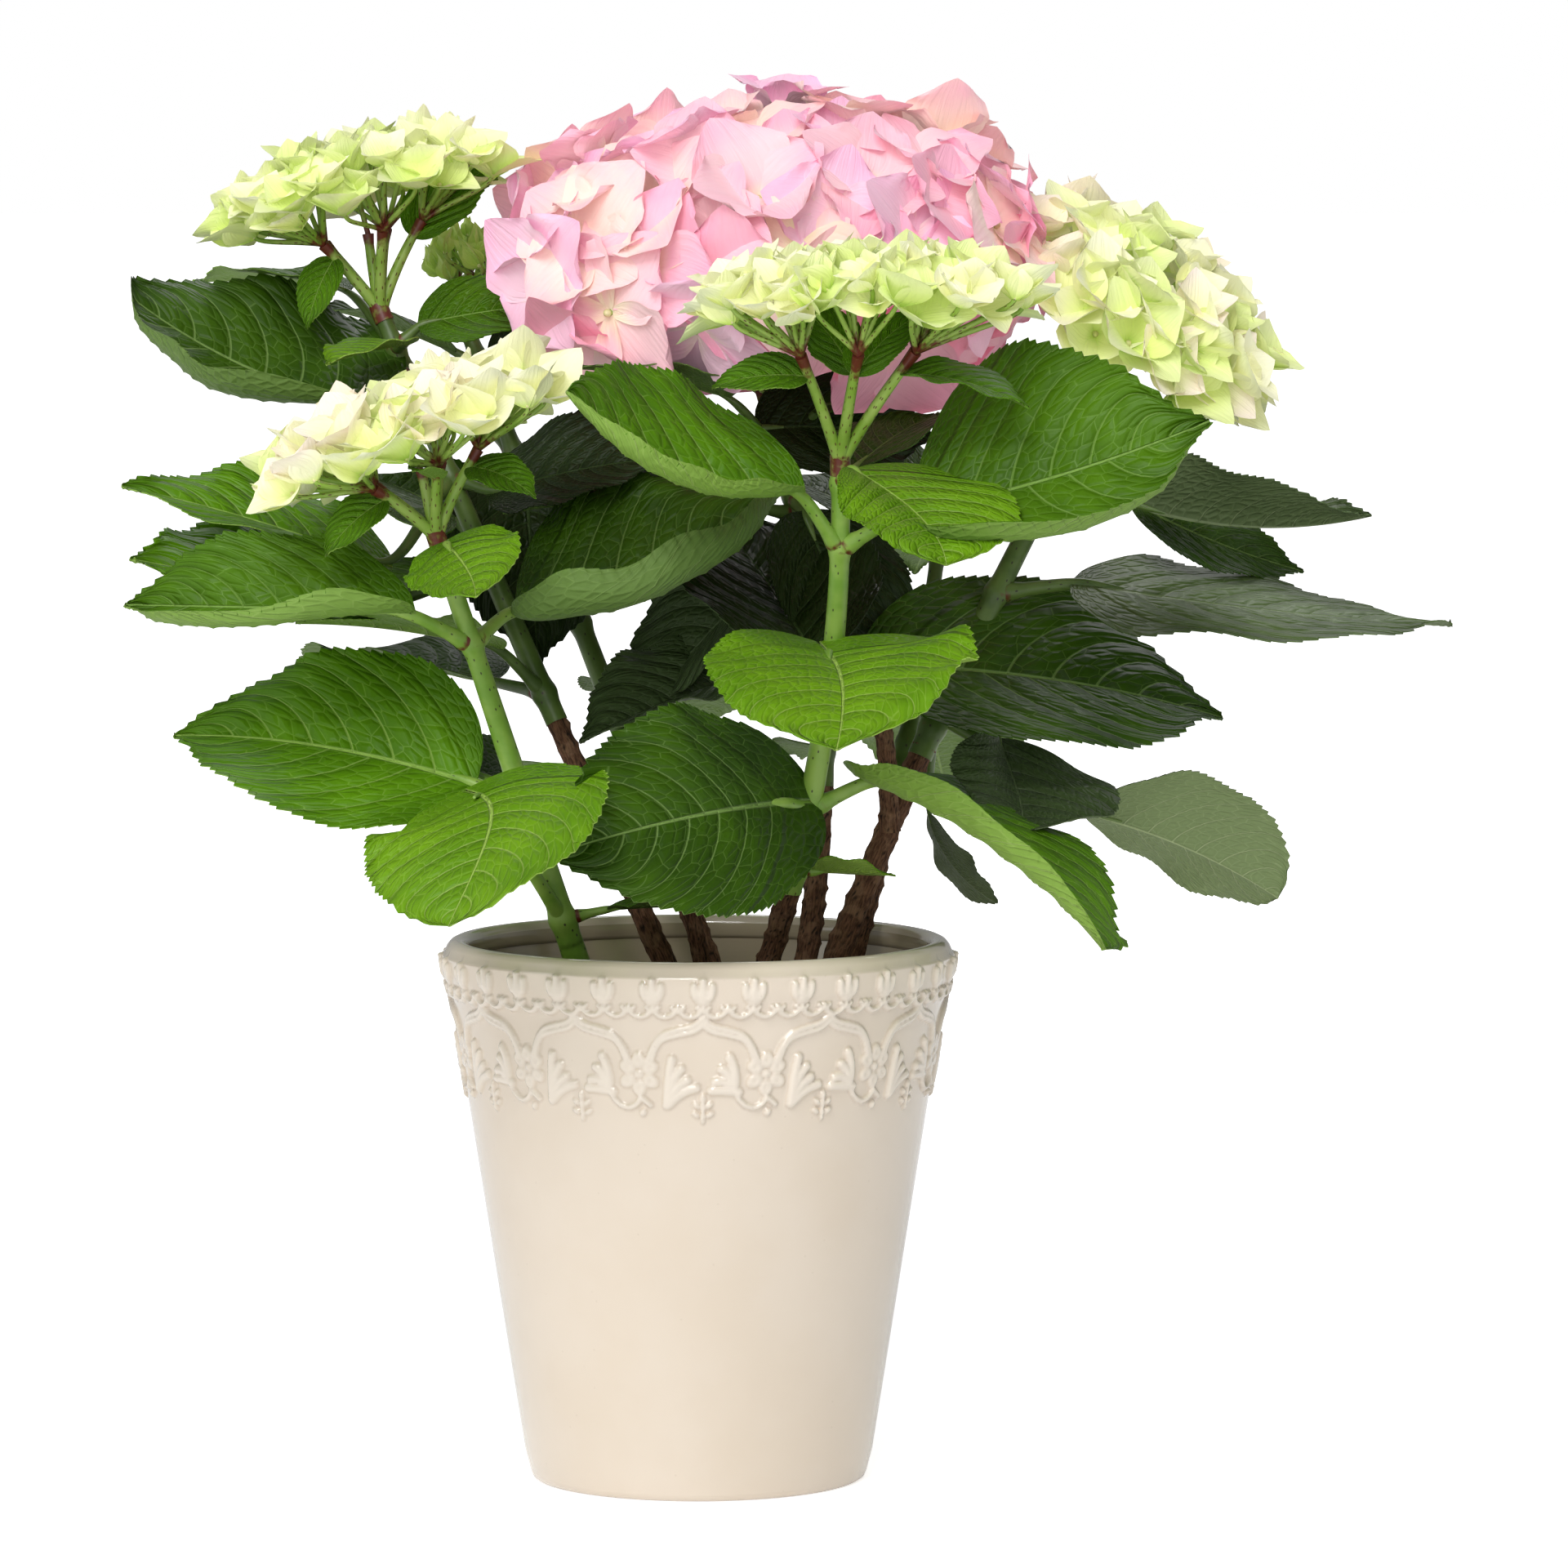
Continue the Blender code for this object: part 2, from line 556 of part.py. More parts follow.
def make_bloom(name, claimed):
    """One flower head: stalks that fork from the shoot's tip, a core, and a layer of florets over it."""
    bloom = BLOOMS[name]
    cane = CANES[name]
    axes = head_axes(bloom)
    half = np.array(bloom.size) / 2
    top = cane_point(cane, cane.top[2])
    along = unit(top - cane_point(cane, cane.top[2] - KNOT_LENGTH))
    fork = top + along * CLEAR
    knot = fork + along * KNOT_LENGTH
    tip_length, tip_radius = KNOT_TIP
    stem = tube([fork, knot, knot + along * tip_length], [cane.radii[1], cane.radii[1], tip_radius], CANE_SIDES)
    pieces, ends = flower_stalks(bloom, axes, knot)
    small = []
    for number, spot in enumerate(head_spots(bloom)):
        outward = unit((spot / half) @ axes)
        small.append(floret(bloom.centre + (spot * half) @ axes, outward, bloom, number * FLORET_TURN))
    for stalk, heading, length in bloom.bracts:
        root = knot + (ends[stalk] - knot) * BRACT_FOOT
        leaf = Leaf(node=0, out=heading, rise=0, reach=0, heading=heading, length=length, **BRACT_POSE)
        middle, up = blade(root, leaf, BRACT_STEPS)
        small.append(thick_sheet(middle, up, BRACT_THICKNESS))
    pieces += [shape for shape in small if not claimed.touches(shape)]
    pieces.append(head_core(bloom, axes))
    return fuse("bloom_" + name, stem, pieces, "pink_bloom" if name == "middle" else "cream_bloom")


def main():
    clear_scene()
    claimed = Claimed()
    for item in (make_pot(), make_soil(), *make_canes()):
        claimed.add(item)
    for name in CANES:
        claimed.add(make_shoot(name, claimed))
    for name in BLOOMS:
        claimed.add(make_bloom(name, claimed))


main()
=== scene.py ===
"""Looks of a potted hydrangea: glazed pot with raised ornament, soil, bark, stems, leaves and blooms.

The plant grows by the same tables and rules as the solids that it stands for, only finer. In the tables,
lengths are millimetres and angles degrees. Headings are compass angles in plan: 0 points along +X and 90
along +Y, the back. Every surface is worked out in millimetres as a grid of points and stored in metres.
"""
from collections import namedtuple
from math import degrees, pi, radians

import bpy
import numpy as np
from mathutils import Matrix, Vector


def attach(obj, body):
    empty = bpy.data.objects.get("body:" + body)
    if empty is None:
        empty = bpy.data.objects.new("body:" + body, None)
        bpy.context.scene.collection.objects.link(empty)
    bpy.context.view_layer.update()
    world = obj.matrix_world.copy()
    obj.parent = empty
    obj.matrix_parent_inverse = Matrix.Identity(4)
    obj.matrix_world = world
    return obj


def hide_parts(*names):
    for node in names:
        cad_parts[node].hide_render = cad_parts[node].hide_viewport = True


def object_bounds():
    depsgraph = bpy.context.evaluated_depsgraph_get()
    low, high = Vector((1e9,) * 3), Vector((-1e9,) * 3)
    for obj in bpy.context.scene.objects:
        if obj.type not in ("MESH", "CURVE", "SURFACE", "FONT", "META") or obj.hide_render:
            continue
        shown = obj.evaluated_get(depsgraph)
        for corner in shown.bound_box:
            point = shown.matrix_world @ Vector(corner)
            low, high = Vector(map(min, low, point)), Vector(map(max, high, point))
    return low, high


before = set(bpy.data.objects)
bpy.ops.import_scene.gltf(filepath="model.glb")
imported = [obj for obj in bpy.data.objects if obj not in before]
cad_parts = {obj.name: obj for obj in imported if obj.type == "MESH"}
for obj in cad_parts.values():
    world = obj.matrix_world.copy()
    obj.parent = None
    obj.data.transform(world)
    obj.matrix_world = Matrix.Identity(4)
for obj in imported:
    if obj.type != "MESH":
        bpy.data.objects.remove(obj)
cad_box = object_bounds()

MM = 0.001
SIDE_MARGIN = 3.0                 # near the sides and the top of the solids' box, points are eased into it
TOP_MARGIN = 5.0
FAR_BELOW = -99.0                 # so low that nothing is eased at the floor

# ---------------------------------------------------------------- pot: (radius, height) points, then sizes
FOOT = ((49.6, 0), (51.2, 0.25), (52.2, 0.9), (52.9, 2.6))
WALL_FOOT = (54.6, 9.2)
WALL_TOP = (70.4, 108.9)
RIM_ROUND = ((79.7, 163.5), (79.5, 165.8), (78.7, 167.8), (77.5, 169.2), (76.2, 169.8), (75.0, 169.8))
RIM_LIP = ((73.9, 169.5), (72.9, 168.8), (72.3, 167.4), (72.1, 165.5), (72.1, 163.9), (72.4, 163.0),
           (73.2, 162.6))
RIM_FLARE = (0.9, 150.0, 160.0)   # how far the rim stands out of the wall's slope, and over which heights
WALL_THICKNESS = 5.8
FLOOR_THICKNESS = 8.0
POT_COLUMNS = 768
BAND = (119.0, 167.0)             # heights between which the ornament lies
BAND_ROWS = 84
TULIP_HEIGHT = 160.6              # heights of the middles of the ornament's motifs
SCALLOP_HEIGHT = 154.6
FESTOON_HEIGHT = 144.8
FLOWER_HEIGHT = 135.4
PENDANT_HEIGHT = 124.6
ARCHES = 12
TULIPS = 32
FIRST_ARCH = 1.6                  # degrees from the front of the pot to the peak of an arch
ORNAMENT_RISE = 1.5
SOIL_TOP = 145.0
SOIL_GAP = 1.2
SOIL_LUMPS = 420

# ---------------------------------------------------------------- canes
Cane = namedtuple("Cane", "foot top bow green radii")
# green: height at which the old wood ends and the green stem starts; radii: at the foot and at the top
CANES = {
    "front_left": Cane((-32, -6), (-79, -42, 295), (0, 0), 170, (4.3, 2.7)),
    "front_centre": Cane((16, -4), (44, -50, 318), (8, 0), 187, (4.2, 2.8)),
    "right": Cane((36.5, 6), (132, 46, 347), (-5, 0), 226, (4.8, 2.8)),
    "middle": Cane((31, 22), (22, 44, 336), (12, 10), 215, (4.2, 3.0)),
    "back_left": Cane((-3, 0), (-100, 48, 362), (-1, 0), 237, (4.2, 2.7)),
    "back": Cane((9, 22), (-76, 102, 358), (0, 4), 205, (4.0, 2.6)),
    "back_right": Cane((44, 30), (78, 96, 298), (4, 0), 198, (3.8, 2.2)),
}
GREEN_CANES = ("front_left",)
# the stems of these canes get the darker green: painted shade at the back and right of the plant
SHADED_STEMS = ("back_left", "middle", "back", "back_right", "right")
STUB = ((4, 7, SOIL_TOP - 1), (-3, 5, 180), 3.1)
SPUR = ((60, 14, 202), (58, 11, 237), 3.4)
BARK_SHARE = 0.88                 # of a cane's radius, before its rings and ridges
BARK_COLUMNS = 36
JOINT_SWELL = 0.85                # how far a green stem swells where a leaf joins it
STEM_COLUMNS = 22
STALK_COLUMNS = 14
ASKEW = (0.31, 0.95, 0.05)        # a direction that no path follows

# ---------------------------------------------------------------- leaves
Leaf = namedtuple("Leaf", "tone node out rise reach heading pitch length roll bend fold hem wide sweep twist"
                          " heart blunt", defaults=(0, 15, 12, 0, 0.7, 0, 0, 0.05, 0))
# tone: how brightly the blade is painted, as painted light and shade for where it sits and partly its own
# colour: y young and lit, f fresh and lit, m mid, d deep painted shade, k darkest painted shade, s greyer
# painted shade, g or w where the pale back shows
# node, out, rise, reach: where and how its stalk leaves the cane
# heading, pitch: of the blade; roll: left side up; bend: droop from base to tip
# fold: of both halves off the midrib; hem: curl of the left margin, or of the right one if negative
# wide: width over length; sweep: how far the midrib turns left; twist: roll gained from base to tip
# heart: how far the base lobes reach back; blunt: 0 for a drawn-out point, 1 for a rounded end
LEAVES = {
    "front_left": (
        Leaf("y", 177, -117.3, 39, 67.9, -96.4, -22.7, 86.5, roll=19.2, bend=46.1, fold=3.1, wide=0.9,
             sweep=-47, twist=-9.7, heart=0.21, blunt=1),
        Leaf("m", 177, 0, 12, 16, -10, 0, 36),
        Leaf("f", 213, -175.6, 24, 16.6, -196.5, 7.6, 102.2, roll=-42.2, bend=21.1, fold=14.2, sweep=-22.3,
             twist=15.8, heart=0),
        Leaf("d", 213, 120, 14, 30, 135, 2, 76),
        Leaf("m", 264, -151.1, 23.7, 27.8, -197.4, 0.2, 91.6, roll=-43.9, bend=3.2, fold=18.3, hem=129.3,
             wide=0.59, sweep=-41.7, twist=-40.7, heart=0.06),
        Leaf("d", 264, 50.4, 25.8, 21.8, 12.5, 23.4, 95.8, roll=24.6, bend=-29, fold=11.3, hem=-157, wide=1,
             sweep=38.5, twist=-10.8, heart=0),
        Leaf("y", 290, -82.4, 31.9, 10.7, -77.9, -14.3, 52.1, roll=20.5, bend=-2.2, fold=8.8, wide=0.72,
             sweep=-18.7, twist=-9.2, blunt=0.62),
        Leaf("m", 290, 100, 35, 14, 130, 10, 36),
    ),
    "front_centre": (
        Leaf("y", 193, -5, -6, 7, -30, 0, 28, roll=-20, bend=10, fold=10),
        Leaf("d", 212, -113.6, 9.6, 20.7, -138.1, -6.2, 95.6, roll=-62.7, bend=17.2, fold=6.2, wide=0.72,
             sweep=-32.7, twist=1.1, heart=0.22, blunt=0.41),
        Leaf("f", 212, -5.3, 23.2, 23.8, -49.5, -23.2, 113.6, roll=-12.4, bend=29.1, fold=3.8, hem=-80,
             wide=0.68, twist=-25.8, heart=0.09, blunt=1),
        Leaf("y", 253, -91.6, 23.8, 24, -88.7, -15.8, 84.7, roll=-0.1, bend=18.7, fold=15.5, wide=1,
             sweep=-17.2, twist=6.3, heart=0.22, blunt=1),
        Leaf("k", 253, 105.7, 17.8, 21, 110.6, 24.7, 85.7, roll=-10.5, bend=3.5, fold=20.3, wide=0.79,
             sweep=6.9, twist=4.4, blunt=0.54),
        Leaf("f", 294, -138, 43.3, 27.8, -146.4, 20.8, 88.9, roll=-52.4, bend=-37.1, fold=19.3, hem=110.5,
             wide=0.69, sweep=50.8, twist=-30.2, blunt=0.72),
        Leaf("m", 294, -25.4, 26.4, 26.3, -9.1, 17.1, 97.1, roll=58.7, bend=-11.5, fold=13.5, hem=-108.1,
             wide=0.94, sweep=26.1, twist=35.2, heart=0),
        Leaf("y", 314, -70.4, 23.6, 12.6, -57.8, -26.2, 60, roll=-0.1, bend=1.3, wide=1, sweep=-59.5,
             twist=-1.6, heart=0, blunt=1),
        Leaf("d", 314, 74, 14, 21, 58, 17, 49),
    ),
    "right": (
        Leaf("s", 234, 90.7, -56, 37.2, -15.9, -49.5, 35.1, roll=-41.5, bend=-44.6, fold=2.1, wide=0.62,
             sweep=3.2, twist=-16.4, blunt=0.39),
        Leaf("s", 238, -40.1, -14.3, 25.1, -85.1, -26.8, 60.7, roll=-19.2, bend=-60, fold=23.7, wide=1,
             sweep=-54, twist=18.7, heart=0, blunt=1),
        Leaf("g", 238, -4.8, -32, 59.6, 10, -24.6, 64.7, roll=-46.5, bend=19, fold=22.9, wide=0.76,
             sweep=-14.4, twist=-23.2, blunt=1),
        Leaf("w", 276, -1.4, 5.9, 28.4, 2, -6, 119, roll=8.4, bend=-6, fold=0.6, wide=0.67, sweep=26,
             twist=-18.8, heart=0.04, blunt=0.01),
        Leaf("d", 256, 60, 8, 24, 50, 0, 76),
        Leaf("s", 316, -11.3, -27, 27.4, -14.5, -1.4, 75.5, roll=-15, bend=-29, fold=31, wide=0.66,
             sweep=-7.7, twist=37.9),
        Leaf("d", 316, 25, -26, 30, 20, -21, 62, roll=48, bend=-12, fold=8, wide=0.5),
    ),
    "middle": (
        Leaf("d", 225, 80, 1, 12, 100, -8, 50),
        Leaf("d", 250, -59.7, 6.2, 43.4, 14.6, -9.3, 112, roll=33.8, bend=15.9, fold=8.8, wide=0.79,
             sweep=19, twist=-2.2, heart=0.08),
        Leaf("s", 268, -176.3, -38.6, 32, -144.7, -16.4, 62, roll=-21, bend=10, fold=30),
        Leaf("s", 279, 178, 2, 14, -170, -48, 58, roll=-30, bend=18, fold=24, wide=0.85),
        Leaf("d", 268, 90, 18, 26, 110, 5, 75),
        Leaf("d", 300, 200, 10, 30, 188, -3, 66, roll=-10),
        Leaf("d", 318, -125, 32, 40, -148, 10, 54),
        Leaf("k", 306, -70, -30, 14, -50, -62, 66, roll=8, bend=12, fold=12, wide=0.78),
        Leaf("d", 318, -45, 44, 24, -27, 8, 49, roll=24),
        Leaf("d", 322, 60, 30, 20, 75, 10, 70),
        Leaf("k", 326, -110, 8, 14, 8, -4, 56, roll=48, wide=0.8),
    ),
    "back_left": (
        Leaf("m", 245, -149, 40, 24, -158, 8, 66),
        Leaf("d", 245, 130, 5, 32, 140, 2, 80),
        Leaf("f", 285, -168, -19.2, 34.3, -147, 10.2, 93, roll=-25.6, bend=-1.1, fold=10.6, sweep=0.9,
             twist=-1.5, blunt=0.03),
        Leaf("d", 291, 110, 15, 30, 118, 8, 75),
        Leaf("f", 312, -125, -34.4, 44.7, -171.7, 17.1, 85.9, roll=-18.8, bend=9.6, fold=12.5, wide=0.6,
             sweep=-1.1, twist=-2.4, blunt=0.05),
        Leaf("k", 312, -34, -11, 19, -21, 11, 60, roll=38, wide=0.8),
        Leaf("d", 345, -117.6, -15.7, 31.5, -200.6, 23.3, 100.4, roll=-24, bend=-37.4, fold=8.2, hem=99.1,
             wide=0.84, sweep=54.4, twist=-23.4),
        Leaf("y", 353, -79, 5, 16, -127, -8, 38),
        Leaf("m", 353, 126, 30, 36, 155, 2, 55),
        Leaf("m", 353, -5, 40, 12, -5, 8, 46, roll=40, bend=10, fold=10),
    ),
    "back": (
        Leaf("d", 212, 125, 8, 26, 125, -14, 92),
        Leaf("d", 298, 40, 20, 24, 72, -12, 85),
        Leaf("d", 236, 60, 12, 24, 82, -14, 84),
        Leaf("d", 264, -160, 20, 24, 168, 0, 85),
        Leaf("d", 318, 118, 20, 24, 112, -8, 88),
        Leaf("k", 318, -40, 0, 20, -12, 6, 60, roll=34, wide=0.8),
        Leaf("d", 345, 178, 30, 12, 188, 18, 46),
        Leaf("k", 348, -20, 0, 6, -8, -2, 64, roll=42, wide=0.85),
        Leaf("k", 312, -85, 0, 16, -82, -58, 70, roll=6, bend=10, fold=12, wide=0.8),
    ),
    "back_right": (
        Leaf("d", 226, 75, 16, 26, 84, -22, 94),
        Leaf("d", 254, 150, 20, 24, 118, -8, 85),
        Leaf("d", 240, -20, 10, 22, 14, -12, 62),
        Leaf("d", 285, 80, 22, 20, 96, -12, 90),
        Leaf("d", 285, 160, 25, 20, 130, 15, 60),
        Leaf("d", 297, 150, 50, 8, 150, 40, 48),
        Leaf("d", 297, -30, 50, 8, -35, 30, 46),
    ),
}
OUTLINE_POWERS = (0.5, 0.86)
TIP_WIDTH = 0.012
TOOTH_STEPS = 4                   # rows of points to a tooth of the margin
TEETH = 27
ACROSS = 18                       # faces across a blade
SMALL_LEAF = 60.0                 # blades shorter than this get fewer teeth and faces
SMALL_TEETH = 16
SMALL_ACROSS = 12
SIDE_VEINS = 7.6                  # side veins from base to tip
VEIN_CLIMB = (0.20, 0.26)         # how far a side vein climbs the blade: share of |v| and of v squared
VEIN_SPAN = (0.5, 1.6, -1.5)      # how that changes up the blade: constant, share of t and of t squared
VEIN_STAGGER = 0.45               # left and right veins don't meet at the midrib
NET_CELLS = 25.0                  # cells of the fine net across a stretch as wide as the blade is long
TOOTH_DEPTH = 0.015               # these heights and depths are over the blade's length
MARGIN_WAVE = 0.022
QUILT = 0.004                     # of the swellings between side veins
GROOVE = 0.006                    # of the midrib on the upper side
RIB_HEIGHT = 0.011                # of the midrib and the side veins on the back
VEIN_HEIGHT = 0.0035
BLADE_THICKNESS = 0.35
STALK_RADII = (2.5, 1.9)

# ---------------------------------------------------------------- flower heads
Bloom = namedtuple("Bloom", "centre size lean_to lean florets small large spread stalks bracts")
# florets: how many; small, large: diameters of the inner and the outermost ones
# spread: angle from the crown to the lowest ones
# bracts: (flower stalk that it lies beside, heading, pitch, length, roll) of each small leaf
BLOOMS = {
    "front_left": Bloom((-88, -45, 331), (102, 76, 36), 180, 21, 44, 29, 37, 92, 5,
                        ((0, -155, -40, 27, -35), (2, -40, -18, 29, 30), (1, -110, 10, 20, 0))),
    "front_centre": Bloom((51, -73, 373), (110, 72, 36), 0, -2, 56, 26, 31, 92, 6,
                          ((3, -175, -6, 30, -42), (5, -14, -14, 42, 14), (6, 135, 40, 34, -30),
                           (4, 40, 35, 32, 30))),
    "right": Bloom((142, 56, 368.5), (102, 90, 52), -20, 36, 50, 31, 39, 112, 5, ()),
    "middle": Bloom((23, 46, 381), (174, 150, 110), 0, 0, 80, 44, 54, 128, 5, ()),
    "back_left": Bloom((-108, 52, 404), (96, 70, 38), 180, 14, 50, 25, 30, 94, 5,
                       ((0, -130, -60, 26, -20), (2, 25, 38, 42, 40))),
    "back": Bloom((-71, 104, 381), (42, 42, 26), 90, 10, 26, 14, 18, 100, 3, ()),
}
OPEN_SIZE = 40.0                  # florets larger than this are open ones
KNOT_LENGTH = 3.5
FORK_SHARE = 0.73                 # of the way from the knot to the head, where a flower stalk forks again
FLOWER_STALK_RADII = (1.95, 1.5)
STALK_END = (0.5, -0.35)          # out and up from the head's middle, over its half size
PEDICEL_RADII = (0.95, 0.75)
Petals = namedtuple("Petals", "rows columns wide tip rise vary curl cup ruffle ragged")
# wide: half-width over length. tip: how pointed. rise: degrees out of the floret's plane at the claw, for the
# inner and the outermost florets. vary: how much that differs between florets. curl: degrees gained along it.
# cup: how far its sides lift. ruffle: waves of its edge. ragged: small random notches of its edge.
CUPPED_PETALS = Petals(8, 7, 0.54, 0.09, (68, 46), 8, -14, 0.32, 0.030, 0.010)
PETAL_KINDS = {
    "middle": Petals(12, 11, 0.58, 0.08, (36, 16), 11, -20, 0.17, 0.075, 0.015),
    "back": Petals(6, 5, 0.44, 0.22, (84, 70), 4, 6, 0.45, 0.0, 0.0),
}
ROUND = 0.20                      # share of a petal's length that its rounded end adds
PETAL_VEINS = 9.0                 # noise waves across a petal's half-width that make its fine veins

# ---------------------------------------------------------------- colours
# tone of a blade, painted lighter or darker as painted light and shade and partly its own colour: upper side,
# its darker patches (cloudy, and painted shade along the side veins), its veins; and back, its veins
LEAF_TONES = {
    "y": ((0.155, 0.330, 0.007), (0.090, 0.225, 0.004), (0.380, 0.560, 0.110),
          (0.240, 0.390, 0.055), (0.400, 0.540, 0.140)),
    "f": ((0.098, 0.245, 0.004), (0.052, 0.145, 0.002), (0.290, 0.470, 0.090),
          (0.200, 0.340, 0.050), (0.360, 0.500, 0.140)),
    "m": ((0.078, 0.190, 0.004), (0.042, 0.114, 0.002), (0.230, 0.400, 0.080),
          (0.175, 0.300, 0.050), (0.320, 0.450, 0.130)),
    "d": ((0.044, 0.108, 0.004), (0.019, 0.052, 0.003), (0.200, 0.320, 0.085),
          (0.110, 0.190, 0.038), (0.220, 0.330, 0.090)),
    "k": ((0.016, 0.032, 0.006), (0.009, 0.019, 0.003), (0.045, 0.080, 0.022),
          (0.040, 0.070, 0.018), (0.080, 0.120, 0.040)),
    "s": ((0.082, 0.128, 0.046), (0.040, 0.068, 0.020), (0.160, 0.220, 0.105),
          (0.080, 0.115, 0.045), (0.150, 0.195, 0.090)),
    "g": ((0.030, 0.068, 0.006), (0.018, 0.046, 0.005), (0.110, 0.180, 0.055),
          (0.165, 0.225, 0.090), (0.330, 0.400, 0.200)),
    "w": ((0.108, 0.168, 0.050), (0.044, 0.076, 0.018), (0.200, 0.270, 0.120),
          (0.150, 0.195, 0.098), (0.240, 0.290, 0.170)),
}
RUST = (0.130, 0.022, 0.012)
DASH = (0.030, 0.022, 0.012)
# petals: name, claw, middle, edge, from the darkest to the palest; florets on a head's shaded side get the
# darker ones as painted shade and those on its pale upper side the paler ones as painted light, while the hues
# also differ at random
PINK_PETALS = (
    ("petal_rose", (0.92, 0.68, 0.56), (0.96, 0.50, 0.62), (0.93, 0.33, 0.50)),
    ("petal_pink", (0.93, 0.76, 0.60), (0.97, 0.57, 0.68), (0.95, 0.39, 0.56)),
    ("petal_lilac", (0.94, 0.80, 0.74), (0.97, 0.66, 0.80), (0.95, 0.47, 0.69)),
    ("petal_blush", (0.95, 0.86, 0.64), (0.97, 0.67, 0.70), (0.95, 0.47, 0.61)),
    ("petal_peach", (0.96, 0.92, 0.60), (0.97, 0.77, 0.66), (0.96, 0.55, 0.63)),
)
CREAM_PETALS = (
    ("petal_lime", (0.48, 0.68, 0.11), (0.72, 0.84, 0.28), (0.85, 0.91, 0.48)),
    ("petal_cream", (0.62, 0.79, 0.18), (0.87, 0.93, 0.44), (0.95, 0.96, 0.68)),
    ("petal_ivory", (0.68, 0.83, 0.24), (0.92, 0.94, 0.55), (0.97, 0.95, 0.75)),
    ("petal_flushed", (0.72, 0.83, 0.28), (0.94, 0.93, 0.62), (0.98, 0.86, 0.76)),
)
BUD_PETALS = (("petal_green", (0.30, 0.48, 0.06), (0.42, 0.60, 0.10), (0.55, 0.68, 0.20)),)
# the way that a floret faces to get a paler tint: painted light on the upper front side of every head, where
# the key lamp falls
PAINTED_LIGHT_SIDE = (-0.3, -0.25, 0.9)

# ---------------------------------------------------------------- camera and lights
CAMERA_PLACE = (0.0268, -2.60, 0.430)
CAMERA_DROP = 4.66                # degrees that it looks down
FOCAL_PIXELS = 10222              # focal length in pixels of a picture that is PICTURE_WIDTH pixels wide
PICTURE_WIDTH = 1920
SENSOR = 36.0
LIT_POINT = (0.0, 0.0, 0.25)      # what every lamp faces
LAMPS = (                         # name, place, width and height, power
    ("key", (-0.8, -2.0, 2.2), (1.5, 1.3), 39),
    ("spark", (-0.1, -2.3, 1.8), (0.45, 0.14), 9),
    ("front", (-0.4, -2.9, 1.0), (1.3, 1.3), 17),
    ("left", (-2.0, -0.7, 1.1), (1.2, 1.4), 6.5),
    ("right", (2.0, -0.9, 1.2), (1.0, 1.2), 1.5),
    ("rear", (0.3, 1.9, 1.8), (1.6, 0.8), 12),
)
SKY_LIGHT = 0.32                  # strength with which the white sky lights the plant
FLOOR_LIGHT = 0.20                # and with which the floor lights it
FLOOR_GLOW = (0.42, 0.80)         # what the camera sees besides, by the pot and far off
FLOOR_REACH = 30.0


# ================================================================ shared arithmetic
def circle(count):
    """Angles spread evenly round a circle."""
    return np.linspace(0, 2 * pi, count, endpoint=False)


def vectors(x, y=0.0, z=0.0):
    """Vectors joined from their three parts, each of them a number or an array."""
    return np.stack(np.broadcast_arrays(x, y, z), axis=-1)


def unit(ways):
    """Vectors scaled to length one."""
    return ways / np.maximum(np.linalg.norm(ways, axis=-1, keepdims=True), 1e-9)


def compass(heading, pitch):
    """Unit vectors that point along compass angles and pitches given in degrees."""
    h, p = np.radians(heading), np.radians(pitch)
    return vectors(np.cos(h) * np.cos(p), np.sin(h) * np.cos(p), np.sin(p))


def ease(low, high, x):
    """Smooth step: 0 below low, 1 above high, 3s^2 - 2s^3 between them."""
    s = np.clip((x - low) / (high - low), 0, 1)
    return s * s * (3 - 2 * s)


def ease_inside(points, low, high, margin):
    """Points kept between low and high: past high - margin, the way left shrinks to margin * (1 - e^-x)."""
    over = np.maximum(points - (high - margin), 0) / margin
    under = np.maximum((low + margin) - points, 0) / margin
    points = np.minimum(points, high - margin) + margin * (1 - np.exp(-over)) * (over > 0)
    return np.maximum(points, low + margin) - margin * (1 - np.exp(-under)) * (under > 0)


def ripples(points, wavelength, seed):
    """Smooth seeded noise of about -1 to 1: a sum of sines of about one wavelength in random directions."""
    waves = 7
    rng = np.random.default_rng(seed)
    ways = unit(rng.normal(size=(waves, points.shape[-1])))
    lengths = wavelength * rng.uniform(0.7, 1.4, waves)
    starts = rng.uniform(0, 2 * pi, waves)
    return np.sin(points @ ways.T * (2 * pi / lengths) + starts).sum(axis=-1) / waves ** 0.5


def curve(controls, count):
    """Bezier curve from its first to its last control point: the Bernstein sum of any number of points."""
    s = np.linspace(0, 1, count)[:, None, None]
    layer = np.asarray(controls, float)[None] + 0 * s
    while layer.shape[1] > 1:
        layer = layer[:, :-1] * (1 - s) + layer[:, 1:] * s
    return layer[:, 0]


def run_length(path):
    """Distance along a path at each of its points."""
    return np.concatenate([[0], np.cumsum(np.linalg.norm(np.diff(path, axis=0), axis=-1))])


def ring_grid(path, radii, columns):
    """Rings of points round a path: radius * (cos a * side + sin a * other). radii is by ring or by point."""
    along = unit(np.gradient(path, axis=0))
    side = unit(np.cross(along, ASKEW))
    other = np.cross(along, side)
    a = circle(columns)[None, :, None]
    spokes = np.cos(a) * side[:, None] + np.sin(a) * other[:, None]
    return path[:, None] + spokes * radii.reshape(len(path), -1, 1)


# ================================================================ meshes
def link(name, data):
    """An object at the origin that shows the data."""
    item = bpy.data.objects.new(name, data)
    bpy.context.scene.collection.objects.link(item)
    return item


